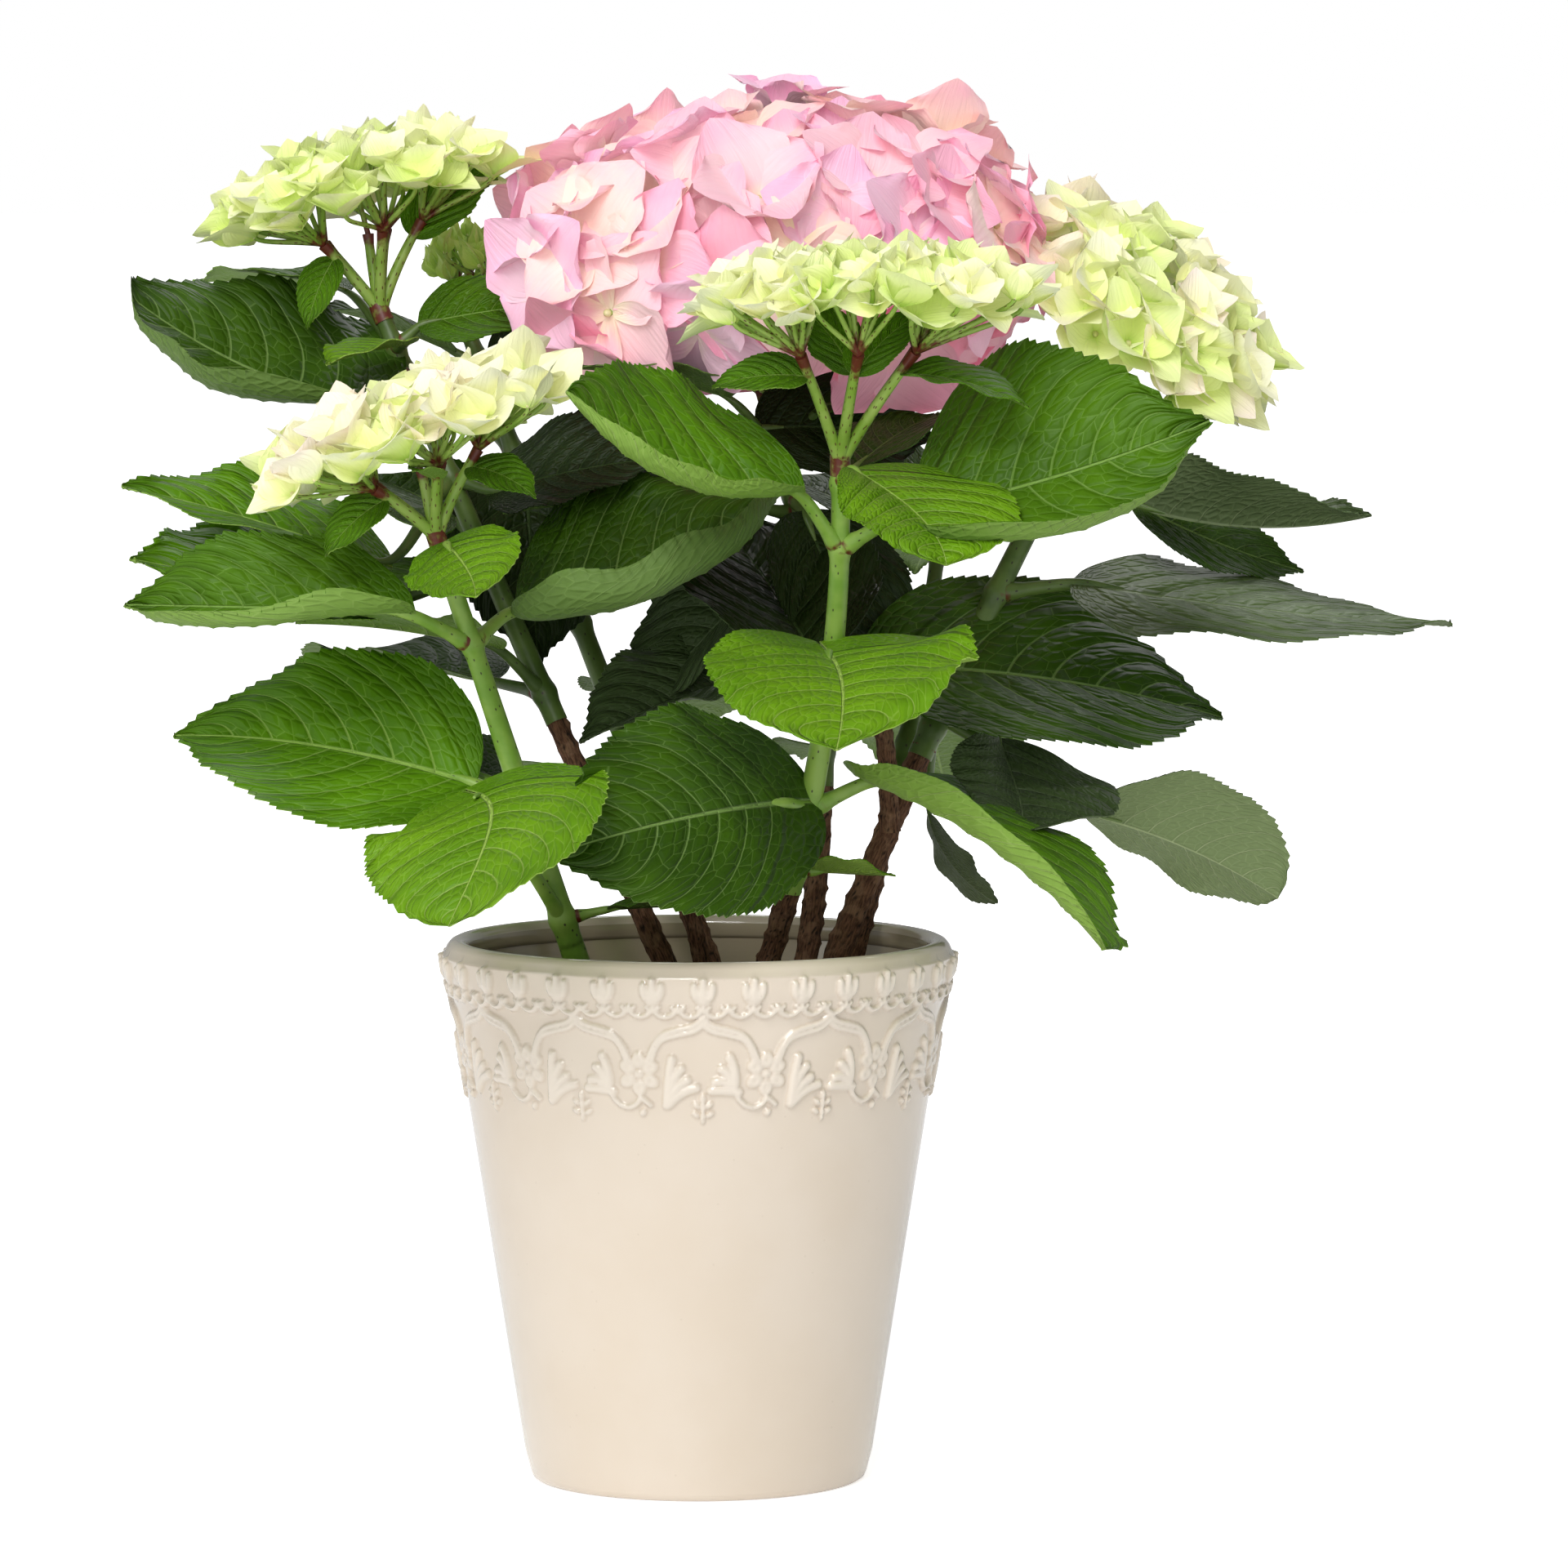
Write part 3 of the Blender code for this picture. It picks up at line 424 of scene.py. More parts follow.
class Piece:
    """Grids of points gathered into one mesh. Materials read two vectors of each point, place and trait."""

    def __init__(self):
        self.points = []
        self.fields = {"place": [], "trait": []}
        self.faces = []
        self.numbers = []
        self.count = 0

    def add(self, grid, place=(0, 0, 0), trait=(0, 0, 0), number=0, closed=True):
        """Add one grid or a stack of them. number is a material's number, for all faces or for each.

        A closed grid joins its last column to its first and has caps on its end rings. Others are sheets.
        """
        rows, columns = grid.shape[-3:-1]
        stack = grid.reshape(-1, rows * columns, 3)
        first = self.count + np.arange(len(stack))[:, None, None] * rows * columns
        index = np.arange(rows * columns).reshape(rows, columns)
        here = index if closed else index[:, :-1]
        there = np.roll(index, -1, axis=1) if closed else index[:, 1:]
        quads = np.stack([here[:-1], there[:-1], there[1:], here[1:]], axis=-1)
        faces = first[..., None] + (quads if closed else quads[..., ::-1])
        numbers = np.broadcast_to(number, faces.shape[:-1]).reshape(len(stack), -1)
        self.points.append(stack.reshape(-1, 3))
        for name, value in (("place", place), ("trait", trait)):
            self.fields[name].append(np.broadcast_to(np.asarray(value, float), grid.shape).reshape(-1, 3))
        self.faces.append(faces.reshape(-1, 4))
        self.numbers.append(numbers.reshape(-1))
        if closed:
            self.faces.append((first + np.stack([index[0, ::-1], index[-1]])).reshape(-1, columns))
            self.numbers.append(numbers[:, [0, -1]].reshape(-1))
        self.count += len(stack) * rows * columns

    def build(self, name, materials, slot, *nodes, sharp=70):
        """Make the mesh object, in metres at the origin, standing for its CAD nodes."""
        mesh = bpy.data.meshes.new(name)
        low, high = np.array(cad_box) / MM
        points = np.concatenate(self.points)
        points[:, :2] = ease_inside(points[:, :2], low[:2], high[:2], SIDE_MARGIN)
        points[:, 2] = np.clip(ease_inside(points[:, 2], FAR_BELOW, high[2], TOP_MARGIN), low[2], None)
        corners = np.concatenate([faces.reshape(-1) for faces in self.faces])
        sizes = np.concatenate([np.full(len(faces), faces.shape[1]) for faces in self.faces])
        mesh.vertices.add(len(points))
        mesh.vertices.foreach_set("co", (points * MM).astype(np.float32).reshape(-1))
        mesh.loops.add(len(corners))
        mesh.loops.foreach_set("vertex_index", corners.astype(np.int32))
        mesh.polygons.add(len(sizes))
        mesh.polygons.foreach_set("loop_start", (np.cumsum(sizes) - sizes).astype(np.int32))
        mesh.polygons.foreach_set("material_index", np.concatenate(self.numbers).astype(np.int32))
        for field, parts in self.fields.items():
            layer = mesh.attributes.new(field, "FLOAT_VECTOR", "POINT")
            layer.data.foreach_set("vector", np.concatenate(parts).astype(np.float32).reshape(-1))
        mesh.update(calc_edges=True)
        mesh.validate()
        mesh.shade_smooth()
        mesh.set_sharp_from_angle(angle=radians(sharp))
        for material in materials:
            mesh.materials.append(material)
        item = link(name, mesh)
        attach(item, "root")
        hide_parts(*nodes)


def add_tube(piece, path, radii, rust, seed, columns, girth=None):
    """A stalk round a path; place is the distance along and around it, trait its red-brown share.

    Distances around are measured at the radius girth, or at the mean radius if none is given.
    """
    place = vectors(run_length(path)[:, None], circle(columns) * (girth or np.mean(radii)), seed)
    piece.add(ring_grid(path, radii, columns), place, vectors(rust[:, None]))


# ================================================================ node trees
GROUPS = {}


class Tree:
    """Short calls that build a node tree. A material's tree also holds the material and its shader's inputs."""

    def __init__(self, tree, material=None):
        self.nodes = tree.nodes
        self.links = tree.links
        self.material = material
        self.shader = tree.nodes["Principled BSDF"].inputs if material else None

    def put(self, value, socket):
        if isinstance(value, bpy.types.NodeSocket):
            self.links.new(value, socket)
        else:
            socket.default_value = value

    def node(self, kind, inputs=None, **settings):
        made = self.nodes.new(kind)
        for key, value in settings.items():
            setattr(made, key, value)
        for key, value in (inputs or {}).items():
            self.put(value, made.inputs[key])
        return made

    def math(self, operation, a, b=0.0, c=0.0):
        return self.node("ShaderNodeMath", {0: a, 1: b, 2: c}, operation=operation).outputs[0]

    def times(self, a, b):
        return self.math("MULTIPLY", a, b)

    def line(self, x, slope, start):
        """x * slope + start."""
        return self.math("MULTIPLY_ADD", x, slope, start)

    def fade(self, value, low, high, start=0.0, end=1.0):
        """Smooth step of a value between low and high, from start to end."""
        return self.node("ShaderNodeMapRange", {0: value, 1: low, 2: high, 3: start, 4: end},
                         interpolation_type="SMOOTHSTEP").outputs[0]

    def mix(self, share, a, b):
        """Colour a where the share is 0 and b where it is 1."""
        a, b = ((*colour, 1.0) if isinstance(colour, tuple) else colour for colour in (a, b))
        return self.node("ShaderNodeMix", {0: share, 6: a, 7: b}, data_type="RGBA").outputs[2]

    def parts(self, vector):
        return self.node("ShaderNodeSeparateXYZ", {0: vector}).outputs

    def join(self, x, y, z=0.0):
        return self.node("ShaderNodeCombineXYZ", {0: x, 1: y, 2: z}).outputs[0]

    def field(self, name):
        """The three parts of a mesh's vector attribute."""
        return self.parts(self.node("ShaderNodeAttribute", attribute_name=name).outputs["Vector"])

    def here(self):
        """Object coordinates."""
        return self.node("ShaderNodeTexCoord").outputs["Object"]

    def noise(self, vector, scale, detail=3.0, roughness=0.5):
        return self.node("ShaderNodeTexNoise", {"Vector": vector, "Scale": scale, "Detail": detail,
                                                "Roughness": roughness}).outputs["Fac"]

    def cells(self, vector, scale=1.0, randomness=1.0, **settings):
        """Distance to the nearest spot of a Voronoi pattern, or to its cell's edge."""
        return self.node("ShaderNodeTexVoronoi", {"Vector": vector, "Scale": scale, "Randomness": randomness},
                         **settings).outputs["Distance"]

    def group(self, name, inputs=None):
        return self.node("ShaderNodeGroup", inputs, node_tree=GROUPS[name]).outputs

    def cloud(self, scale):
        return self.group("mottle", {"Scale": scale})["Cloud"]

    def bump(self, height, distance, strength=1.0):
        return self.node("ShaderNodeBump", {"Height": height, "Distance": distance,
                                            "Strength": strength}).outputs[0]

    def paint(self, colour, normal=None):
        """Give the material its colour and its normal, and return it."""
        self.put(colour, self.shader["Base Color"])
        if normal is not None:
            self.put(normal, self.shader["Normal"])
        return self.material


def new_group(name, outputs, **inputs):
    """An empty node group with named float sockets; returns its tree and the sockets of its two end nodes."""
    group = bpy.data.node_groups.new(name, "ShaderNodeTree")
    for key, value in inputs.items():
        socket = group.interface.new_socket(key.replace("_", " "), in_out="INPUT",
                                            socket_type="NodeSocketFloat")
        socket.default_value = value
    for key in outputs:
        group.interface.new_socket(key, in_out="OUTPUT", socket_type="NodeSocketFloat")
    GROUPS[name] = group
    tree = Tree(group)
    return tree, tree.node("NodeGroupInput").outputs, tree.node("NodeGroupOutput").inputs


def make_vein_group():
    """Masks of a blade's midrib, side veins and fine net, read from where each point lies on its blade.

    place holds t from base to tip, v from margin to margin and the leaf's seed; trait.x is the distance
    across over the blade's length. The side vein through a spot starts at t - climb(|v|) * span(t) on the
    midrib, and Count times that is whole on each vein. The net is the border of Voronoi cells that lie
    crosswise between side veins. Puff swells inside each cell, and Pillow between side veins. Where
    Pillow is low, leaf_top mixes in a darker green as painted shade.
    """
    tree, inputs, outputs = new_group("leaf_veins", ("Rib", "Vein", "Net", "Puff", "Pillow"),
                                      Count=SIDE_VEINS, Net_Scale=NET_CELLS)
    t, v, seed = tree.field("place")
    across = tree.field("trait")[0]
    size = tree.math("ABSOLUTE", v)
    linear, square = VEIN_CLIMB
    constant, slope, curb = VEIN_SPAN
    climb = tree.times(size, tree.line(size, square, linear))
    span = tree.line(t, tree.line(t, curb, slope), constant)
    start = tree.math("SUBTRACT", t, tree.times(climb, span))
    side = tree.times(tree.math("GREATER_THAN", v, 0.0), VEIN_STAGGER)
    phase = tree.line(start, inputs["Count"], side)
    off_vein = tree.math("PINGPONG", phase, 0.5)
    gap = tree.math("DIVIDE", off_vein, inputs["Count"])
    width = tree.line(size, -0.0030, 0.0062)
    vein = tree.math("SUBTRACT", 1.0, tree.fade(tree.math("DIVIDE", gap, width), 0.30, 1.0))
    on_blade = tree.times(tree.fade(start, -0.01, 0.02), tree.fade(start, 0.97, 0.90))
    tree.put(tree.times(vein, on_blade), outputs["Vein"])
    rib_width = tree.line(t, -0.010, 0.0135)
    rib = tree.fade(tree.math("DIVIDE", tree.math("ABSOLUTE", across), rib_width), 1.0, 0.40)
    tree.put(rib, outputs["Rib"])
    pillow = tree.math("POWER", tree.times(off_vein, 2.0), 0.5)
    tree.put(tree.times(pillow, on_blade), outputs["Pillow"])
    cell = tree.join(tree.line(phase, 2.7, tree.times(seed, 17.3)),
                     tree.line(across, inputs["Net Scale"], tree.times(seed, 31.7)))
    border = tree.cells(cell, 1.0, 0.8, feature="DISTANCE_TO_EDGE", voronoi_dimensions="2D")
    tree.put(tree.fade(border, 0.045, 0.0), outputs["Net"])
    tree.put(tree.fade(border, 0.0, 0.32), outputs["Puff"])


def make_speckle_group():
    """Mask of the dark dashes on a stem. place holds the distances along and around it in millimetres."""
    tree, inputs, outputs = new_group("speckles", ("Dash",), Along=7.5, Around=3.4, Size=0.075)
    along, around, seed = tree.field("place")
    spot = tree.join(tree.math("DIVIDE", around, inputs["Around"]),
                     tree.math("ADD", tree.math("DIVIDE", along, inputs["Along"]), seed))
    near = tree.cells(spot, 1.0, 0.9, voronoi_dimensions="2D")
    tree.put(tree.fade(near, inputs["Size"], tree.times(inputs["Size"], 0.6)), outputs["Dash"])


def make_petal_group():
    """Fine veins that fan out from a petal's claw: noise drawn out along it. place is r along, a across."""
    tree, inputs, outputs = new_group("petal_veins", ("Line",), Count=PETAL_VEINS)
    r, a, seed = tree.field("place")
    fan = tree.join(tree.times(a, inputs["Count"]), tree.times(r, 1.6), tree.times(seed, 43.0))
    tree.put(tree.fade(tree.noise(fan, 1.0, 2.0), 0.36, 0.64), outputs["Line"])


def make_mottle_group():
    """Soft cloudy variation from 0 to 1 on object coordinates, at a scale given per metre."""
    tree, inputs, outputs = new_group("mottle", ("Cloud",), Scale=40.0)
    tree.put(tree.fade(tree.noise(tree.here(), inputs["Scale"]), 0.32, 0.68), outputs["Cloud"])


def new_material(name, **constants):
    """The tree of a new Principled material; constants set the shader's sockets directly."""
    material = bpy.data.materials.new(name)
    material.use_nodes = True
    tree = Tree(material.node_tree, material)
    for key, value in constants.items():
        tree.shader[key.replace("_", " ")].default_value = value
    return tree


def leaf_top(tone):
    """Glossy upper side: patches of two greens, with painted shade in the quilting's hollows along the side
    veins, pale midrib and side veins, and quilting between them.
    """
    base, patch, vein = LEAF_TONES[tone][:3]
    tree = new_material("leaf_top_" + tone, Roughness=0.42, Specular_IOR_Level=0.17)
    masks = tree.group("leaf_veins")
    # deep is 1 - Pillow: it mixes in the darker green as painted shade where Pillow is low, along the side
    # veins and at the blade's ends
    deep = tree.math("SUBTRACT", 1.0, masks["Pillow"])
    colour = tree.mix(tree.line(tree.cloud(42.0), 0.65, tree.times(deep, 0.3)), base, patch)
    for mask, share in (("Net", 0.30), ("Vein", 0.75), ("Rib", 0.85)):
        colour = tree.mix(tree.times(masks[mask], share), colour, vein)
    swell = tree.line(masks["Puff"], 0.20, masks["Pillow"])
    swell = tree.math("SUBTRACT", swell, tree.times(masks["Rib"], 0.5))
    return tree.paint(colour, tree.bump(swell, 0.0018, 0.80))


def leaf_back(tone):
    """Matt, paler underside with raised veins."""
    base, vein = LEAF_TONES[tone][3:]
    tree = new_material("leaf_back_" + tone, Roughness=0.60, Specular_IOR_Level=0.25)
    masks = tree.group("leaf_veins")
    raised = tree.math("MAXIMUM", masks["Rib"], masks["Vein"])
    colour = tree.mix(tree.times(raised, 0.8), base, vein)
    colour = tree.mix(tree.times(masks["Net"], 0.30), colour, vein)
    height = tree.math("SUBTRACT", raised, tree.times(masks["Puff"], 0.5))
    return tree.paint(colour, tree.bump(height, 0.0008, 0.7))


def stem_material(name, green, pale, dash=DASH, dashes=None):
    """Smooth green stem: cloudy green, dark dashes, and red-brown where trait.x marks a joint."""
    tree = new_material(name, Roughness=0.42)
    colour = tree.mix(tree.cloud(90.0), green, pale)
    grain = tree.noise(tree.here(), 420.0, 2.0)
    rusty = tree.fade(tree.math("ADD", tree.field("trait")[0], tree.line(grain, 0.7, -0.35)), 0.30, 0.62)
    colour = tree.mix(tree.times(tree.group("speckles", dashes)["Dash"], 0.9), colour, dash)
    return tree.paint(tree.mix(rusty, colour, RUST), tree.bump(grain, 0.0002, 0.25))


def bark_material():
    """Rough brown bark: grey-brown ridges, near black in the sunken grooves between them as painted shade, tan
    where it has flaked.
    """
    tree = new_material("bark", Roughness=0.85, Specular_IOR_Level=0.25)
    along, around, seed = tree.field("place")
    fibre = tree.noise(tree.join(tree.times(along, 0.16), tree.times(around, 0.9), seed), 1.6, 5.0, 0.62)
    flakes = tree.fade(tree.noise(tree.here(), 190.0, 4.0), 0.48, 0.62)
    colour = tree.mix(tree.fade(fibre, 0.34, 0.66), (0.058, 0.024, 0.012), (0.205, 0.100, 0.055))
    colour = tree.mix(tree.times(flakes, 0.45), colour, (0.310, 0.180, 0.105))
    # trait.x is high in the sunken grooves between ridges; the near black there is painted shade
    colour = tree.mix(tree.fade(tree.field("trait")[0], 0.0, 1.0), colour, (0.020, 0.010, 0.006))
    return tree.paint(colour, tree.bump(tree.math("ADD", fibre, tree.times(flakes, 0.5)), 0.0009))


def cut_material():
    """The pale end grain of a pruned cane."""
    tree = new_material("cut_wood", Roughness=0.8)
    return tree.paint(tree.mix(tree.cloud(600.0), (0.30, 0.21, 0.12), (0.16, 0.10, 0.06)))


def glaze_material(name, base, thin):
    """Glossy glaze: thinner and paler on the raised ornament, pooled and warmer beside it, finely specked."""
    tree = new_material(name, Roughness=0.14, Coat_Weight=0.50, Coat_Roughness=0.04)
    raised = tree.field("trait")[0]
    pooled = tuple(c * k for c, k in zip(base, (0.94, 0.91, 0.86)))
    colour = tree.mix(tree.times(tree.cloud(24.0), 0.5), base, pooled)
    colour = tree.mix(tree.fade(raised, 0.15, 0.9), colour, thin)
    edge = tree.times(tree.fade(raised, 0.02, 0.12), tree.fade(raised, 0.45, 0.15))
    colour = tree.mix(tree.times(edge, 0.55), colour, pooled)
    here = tree.here()
    colour = tree.mix(tree.fade(tree.cells(here, 160.0), 0.08, 0.03, 0.0, 0.14), colour, (0.42, 0.33, 0.24))
    return tree.paint(colour, tree.bump(tree.noise(here, 55.0, 2.0), 0.0006, 0.35))


def soil_material():
    """Moist potting soil: dark crumbs with lighter fibres."""
    tree = new_material("soil_crumbs", Roughness=0.95, Specular_IOR_Level=0.2)
    crumbs = tree.noise(tree.here(), 420.0, 6.0, 0.65)
    colour = tree.mix(tree.fade(crumbs, 0.35, 0.70), (0.018, 0.011, 0.007), (0.085, 0.055, 0.035))
    return tree.paint(colour, tree.bump(crumbs, 0.0012))


def petal_material(name, claw, middle, edge, veined=0.05):
    """Matt petal: colour runs from its claw through its middle to its edge, along faint fanning veins.

    A weak glow of its own colour stands for the light that comes through it.
    """
    tree = new_material(name, Roughness=0.60, Specular_IOR_Level=0.20, Sheen_Weight=0.20, Sheen_Roughness=0.6,
                        Emission_Strength=0.07)
    r = tree.field("place")[0]
    colour = tree.mix(tree.fade(r, 0.02, 0.30), claw, middle)
    outer = tree.times(tree.fade(r, 0.35, 0.95), tree.line(tree.cloud(70.0), 0.5, 0.5))
    colour = tree.mix(outer, colour, edge)
    veins = tree.group("petal_veins")["Line"]
    deeper = tuple(c * k for c, k in zip(middle, (0.95, 0.78, 0.80)))
    colour = tree.mix(tree.times(veins, veined), colour, deeper)
    tree.put(colour, tree.shader["Emission Color"])
    return tree.paint(colour, tree.bump(veins, 0.00025, 0.5))


def eye_material():
    """The small waxy bead in the middle of a floret."""
    tree = new_material("flower_eye", Roughness=0.5)
    return tree.paint(tree.mix(tree.cloud(700.0), (0.80, 0.72, 0.42), (0.62, 0.68, 0.28)))


# ================================================================ pot and soil
def stroke(x, y, controls, width, count=26):
    """Rounded ridge along a Bezier curve: sqrt(1 - (distance / width)^2), and 0 beyond the width."""
    gap = np.full(x.shape, np.inf)
    for px, py in curve(controls, count):
        gap = np.minimum(gap, (x - px) ** 2 + (y - py) ** 2)
    return np.sqrt(np.clip(1 - gap / width ** 2, 0, 1))


def lobe(x, y, centre, lean, length, width, hollow=0.0):
    """Raised ellipse, its long axis leaning that many degrees from +x; hollow sinks its middle."""
    c, s = np.cos(radians(lean)), np.sin(radians(lean))
    dx, dy = x - centre[0], y - centre[1]
    far = ((dx * c + dy * s) / length) ** 2 + ((dy * c - dx * s) / width) ** 2
    dome = np.sqrt(np.clip(1 - far, 0, 1))
    return dome * (1 - hollow * np.exp(-far / 0.16))


def tulips(x, y):
    """A three-pointed bud, 8 mm tall, standing on the scallops."""
    body = lobe(x, y, (0, -0.6), 90, 3.8, 3.3) * 0.95
    points = [stroke(x, y, ((sway * 0.8, -1.2), (sway * 1.15, 0.8), (sway, top)), 1.25, 9)
              for sway, top in ((-2.7, 2.4), (0.0, 3.9), (2.7, 2.4))]
    return np.maximum.reduce([body, *points])


def scallops(x, y):
    """One hanging loop of the cord, with a curl at each end."""
    loop = stroke(x, y, ((-3.9, 1.7), (-2.2, -2.3), (2.2, -2.3), (3.9, 1.7)), 0.95, 17)
    curls = [0.9 * lobe(x, y, (side * 2.35, 1.35), -side * 40, 1.5, 0.85) for side in (-1, 1)]
    return np.maximum.reduce([loop, *curls])


def festoon(x, y):
    """Half an ogee arch on each side: from its peak it dips, swells to a shoulder and falls to the flower."""
    x = np.abs(x)
    rails = []
    for shift in (-0.85, 0.85):
        first = ((0, 7.4 + shift * 1.3), (2.6, 3.9 + shift), (5.4, 4.6 + shift), (9.0, 3.3 + shift))
        second = (first[-1], (13.4, 2.4 + shift), (14.6 + shift * 0.6, 0.2), (16.4 + shift * 0.7, -5.4))
        rails += [stroke(x, y, first, 1.0), stroke(x, y, second, 1.0)]
    return np.maximum.reduce(rails)


def flower(x, y):
    """Six-petalled flower with a round eye."""
    petals = [lobe(x, y, (4.1 * np.cos(a), 4.1 * np.sin(a) * 1.05), degrees(a), 2.9, 2.35, 0.40)
              for a in np.arange(6) * pi / 3 + pi / 2]
    return np.maximum.reduce([*petals, 0.85 * lobe(x, y, (0, 0), 0, 1.7, 1.7)])


def sprays(x, y):
    """Leaf sprays beside a flower: the left one runs on in a curved stem under it, the right one is free."""
    left = [((-9.6, -3.0), (-9.4, 1.5), (-11.6, 5.2)), ((-9.8, -3.4), (-11.5, 0.4), (-13.8, 1.6)),
            ((-9.8, -4.2), (-13.0, -1.6), (-15.6, -2.4)), ((-8.4, -5.6), (-13.0, -4.8), (-16.6, -5.0))]
    right = [((8.3, -9.6), (8.8, -2.0), (10.2, 4.6)), ((8.9, -6.0), (10.2, -1.0), (12.9, 1.7)),
             ((9.0, -8.0), (11.2, -3.4), (14.6, -1.8)), ((9.0, -9.2), (12.2, -5.4), (17.2, -4.2))]
    stems = [((-10.4, -2.4), (-8.6, -9.5), (-5.0, -12.6), (-0.4, -10.6), (0.2, -7.0)),
             ((0.2, -7.0), (1.2, -8.0), (3.2, -9.6))]
    blades = [stroke(x, y, way, 1.65, 13) for way in left + right]
    return np.maximum.reduce([*blades, *[stroke(x, y, way, 0.95) for way in stems],
                              lobe(x, y, (0.9, -12.0), 60, 1.5, 1.2)])


def pendant(x, y):
    """Small drop of a top lobe and two pairs of side lobes on a stem."""
    lobes = [lobe(x, y, (side * out, up), lean * side + 90, 1.7, 1.0)
             for side in (-1, 1) for out, up, lean in ((1.9, 1.2, -50), (2.1, -1.7, -60))]
    return np.maximum.reduce([*lobes, lobe(x, y, (0, 3.2), 90, 1.9, 1.1),
                              stroke(x, y, ((0, 2), (0, -4.0)), 0.7)])


def ornament(angle, z, radius):
    """Height of the raised ornament, 0 to 1, on a grid of angles from the pot's front and heights.

    Each motif repeats evenly round the pot: x is the arc distance to the middle of its copy, y the height.
    """
    def beside(count, turn):
        pitch = 2 * pi / count
        return ((angle - turn + pitch / 2) % pitch - pitch / 2) * radius

    first = radians(FIRST_ARCH)
    arch = beside(ARCHES, first)
    bloom = beside(ARCHES, first + pi / ARCHES)
    motifs = (tulips(beside(TULIPS, first), z - TULIP_HEIGHT),
              scallops(beside(2 * TULIPS, first + pi / TULIPS / 2), z - SCALLOP_HEIGHT),
              0.9 * festoon(arch, z - FESTOON_HEIGHT),
              flower(bloom, z - FLOWER_HEIGHT),
              sprays(bloom, z - FLOWER_HEIGHT),
              0.9 * pendant(arch, z - PENDANT_HEIGHT))
    return np.maximum.reduce(motifs) ** 1.25


def wall_radius(z):
    """Radius of the pot's outer wall: a straight slope that flares a little at the rim."""
    foot_r, foot_z = WALL_FOOT
    top_r, top_z = WALL_TOP
    flare, low, high = RIM_FLARE
    return foot_r + (z - foot_z) * (top_r - foot_r) / (top_z - foot_z) + flare * ease(low, high, z)


def inner_radius(z):
    """Radius of the pot's inside: a straight slope from a wall's thickness in at its floor to the lip."""
    lip_r, lip_z = RIM_LIP[-1]
    return np.interp(z, (FLOOR_THICKNESS, lip_z), (wall_radius(FLOOR_THICKNESS) - WALL_THICKNESS, lip_r))


def make_pot():
    """Spun wall with its ornament, rolled rim, lip and inside, closed underneath and on the floor inside."""
    wall_z = np.concatenate([np.linspace(WALL_FOOT[1], BAND[0], 10)[:-1], np.linspace(*BAND, BAND_ROWS)[:-3]])
    outside = [(1.0, 0), *FOOT, *zip(wall_radius(wall_z), wall_z)]
    inner_z = np.linspace(RIM_LIP[-1][1] - 1.5, FLOOR_THICKNESS + 3, 6)
    floor = [(inner_radius(FLOOR_THICKNESS) - 3, FLOOR_THICKNESS), (1.0, FLOOR_THICKNESS)]
    rim = [(r, z) for r, z in RIM_ROUND if z > wall_z[-1] + 0.4]
    profile = np.array([*outside, *rim, *RIM_LIP, *zip(inner_radius(inner_z), inner_z), *floor], float)
    angle = circle(POT_COLUMNS)
    turned = (angle + pi) % (2 * pi) - pi
    z = np.repeat(profile[:, 1:], POT_COLUMNS, axis=1)
    outer = len(outside) + 2          # the ornament may reach two points into the rim
    raised = np.zeros_like(z)
    raised[:outer] = ornament(turned + 0 * z[:outer], z[:outer], profile[:outer, :1])
    raised *= ease(BAND[0] - 1, BAND[0] + 1, z)
    radius = profile[:, :1] + raised * ORNAMENT_RISE
    inner = len(outside) + len(rim) + 2          # the glaze of the inside starts two points into the lip
    number = np.where(np.arange(len(profile) - 1) >= inner, 1, 0)[:, None]
    pot = Piece()
    pot.add(vectors(radius * np.sin(angle), -radius * np.cos(angle), z), trait=vectors(raised), number=number)
    # the inside's darker, greyer glaze is painted shade inside the pot, where less light falls
    glazes = [glaze_material("glaze", (0.720, 0.625, 0.520), (0.765, 0.680, 0.580)),
              glaze_material("glaze_inside_shaded", (0.480, 0.400, 0.290), (0.480, 0.400, 0.290))]
    pot.build("pot_glazed", glazes, "glaze", "pot")


def make_soil():
    """Crumbly soil: a disc whose height sums ripples of three sizes, with loose lumps strewn on it."""
    floor_r, top_r = inner_radius(FLOOR_THICKNESS), inner_radius(SOIL_TOP) - SOIL_GAP
    low = FLOOR_THICKNESS + 0.5
    a = circle(150)
    r = np.concatenate([[floor_r - 2, floor_r - 1], np.linspace(top_r, 0.4, 56)])[:, None]
    z = np.concatenate([[low, low + 3], np.full(56, SOIL_TOP - 1.2)])[:, None]
    flat = np.stack([r * np.cos(a), r * np.sin(a)], axis=-1)
    rough = 0.9 * ripples(flat, 26, 1) + 0.55 * ripples(flat, 7, 2) + 0.45 * np.abs(ripples(flat, 3.2, 3))
    height = z + np.where(z > SOIL_TOP - 2, rough * 0.8, 0)
    soil = Piece()
    soil.add(np.concatenate([flat, height[..., None]], axis=-1))
    rng = np.random.default_rng(5)
    spot = np.sqrt(rng.uniform(0, 1, SOIL_LUMPS)) * (top_r - 3)
    turn = rng.uniform(0, 2 * pi, SOIL_LUMPS)
    size = rng.uniform(0.7, 2.1, SOIL_LUMPS) ** 1.2
    home = vectors(spot * np.cos(turn), spot * np.sin(turn), SOIL_TOP - 1.0)
    lat = np.linspace(-pi / 2 + 0.25, pi / 2 - 0.25, 4)[:, None]
    lon = circle(6)
    ball = vectors(np.cos(lat) * np.cos(lon), np.cos(lat) * np.sin(lon), np.sin(lat))
    uneven = size[:, None, None, None] * rng.uniform(0.6, 1.1, (SOIL_LUMPS, 4, 6, 1))
    soil.add(home[:, None, None] + ball * uneven)
    soil.build("soil_surface", [soil_material()], "soil", "soil", sharp=60)


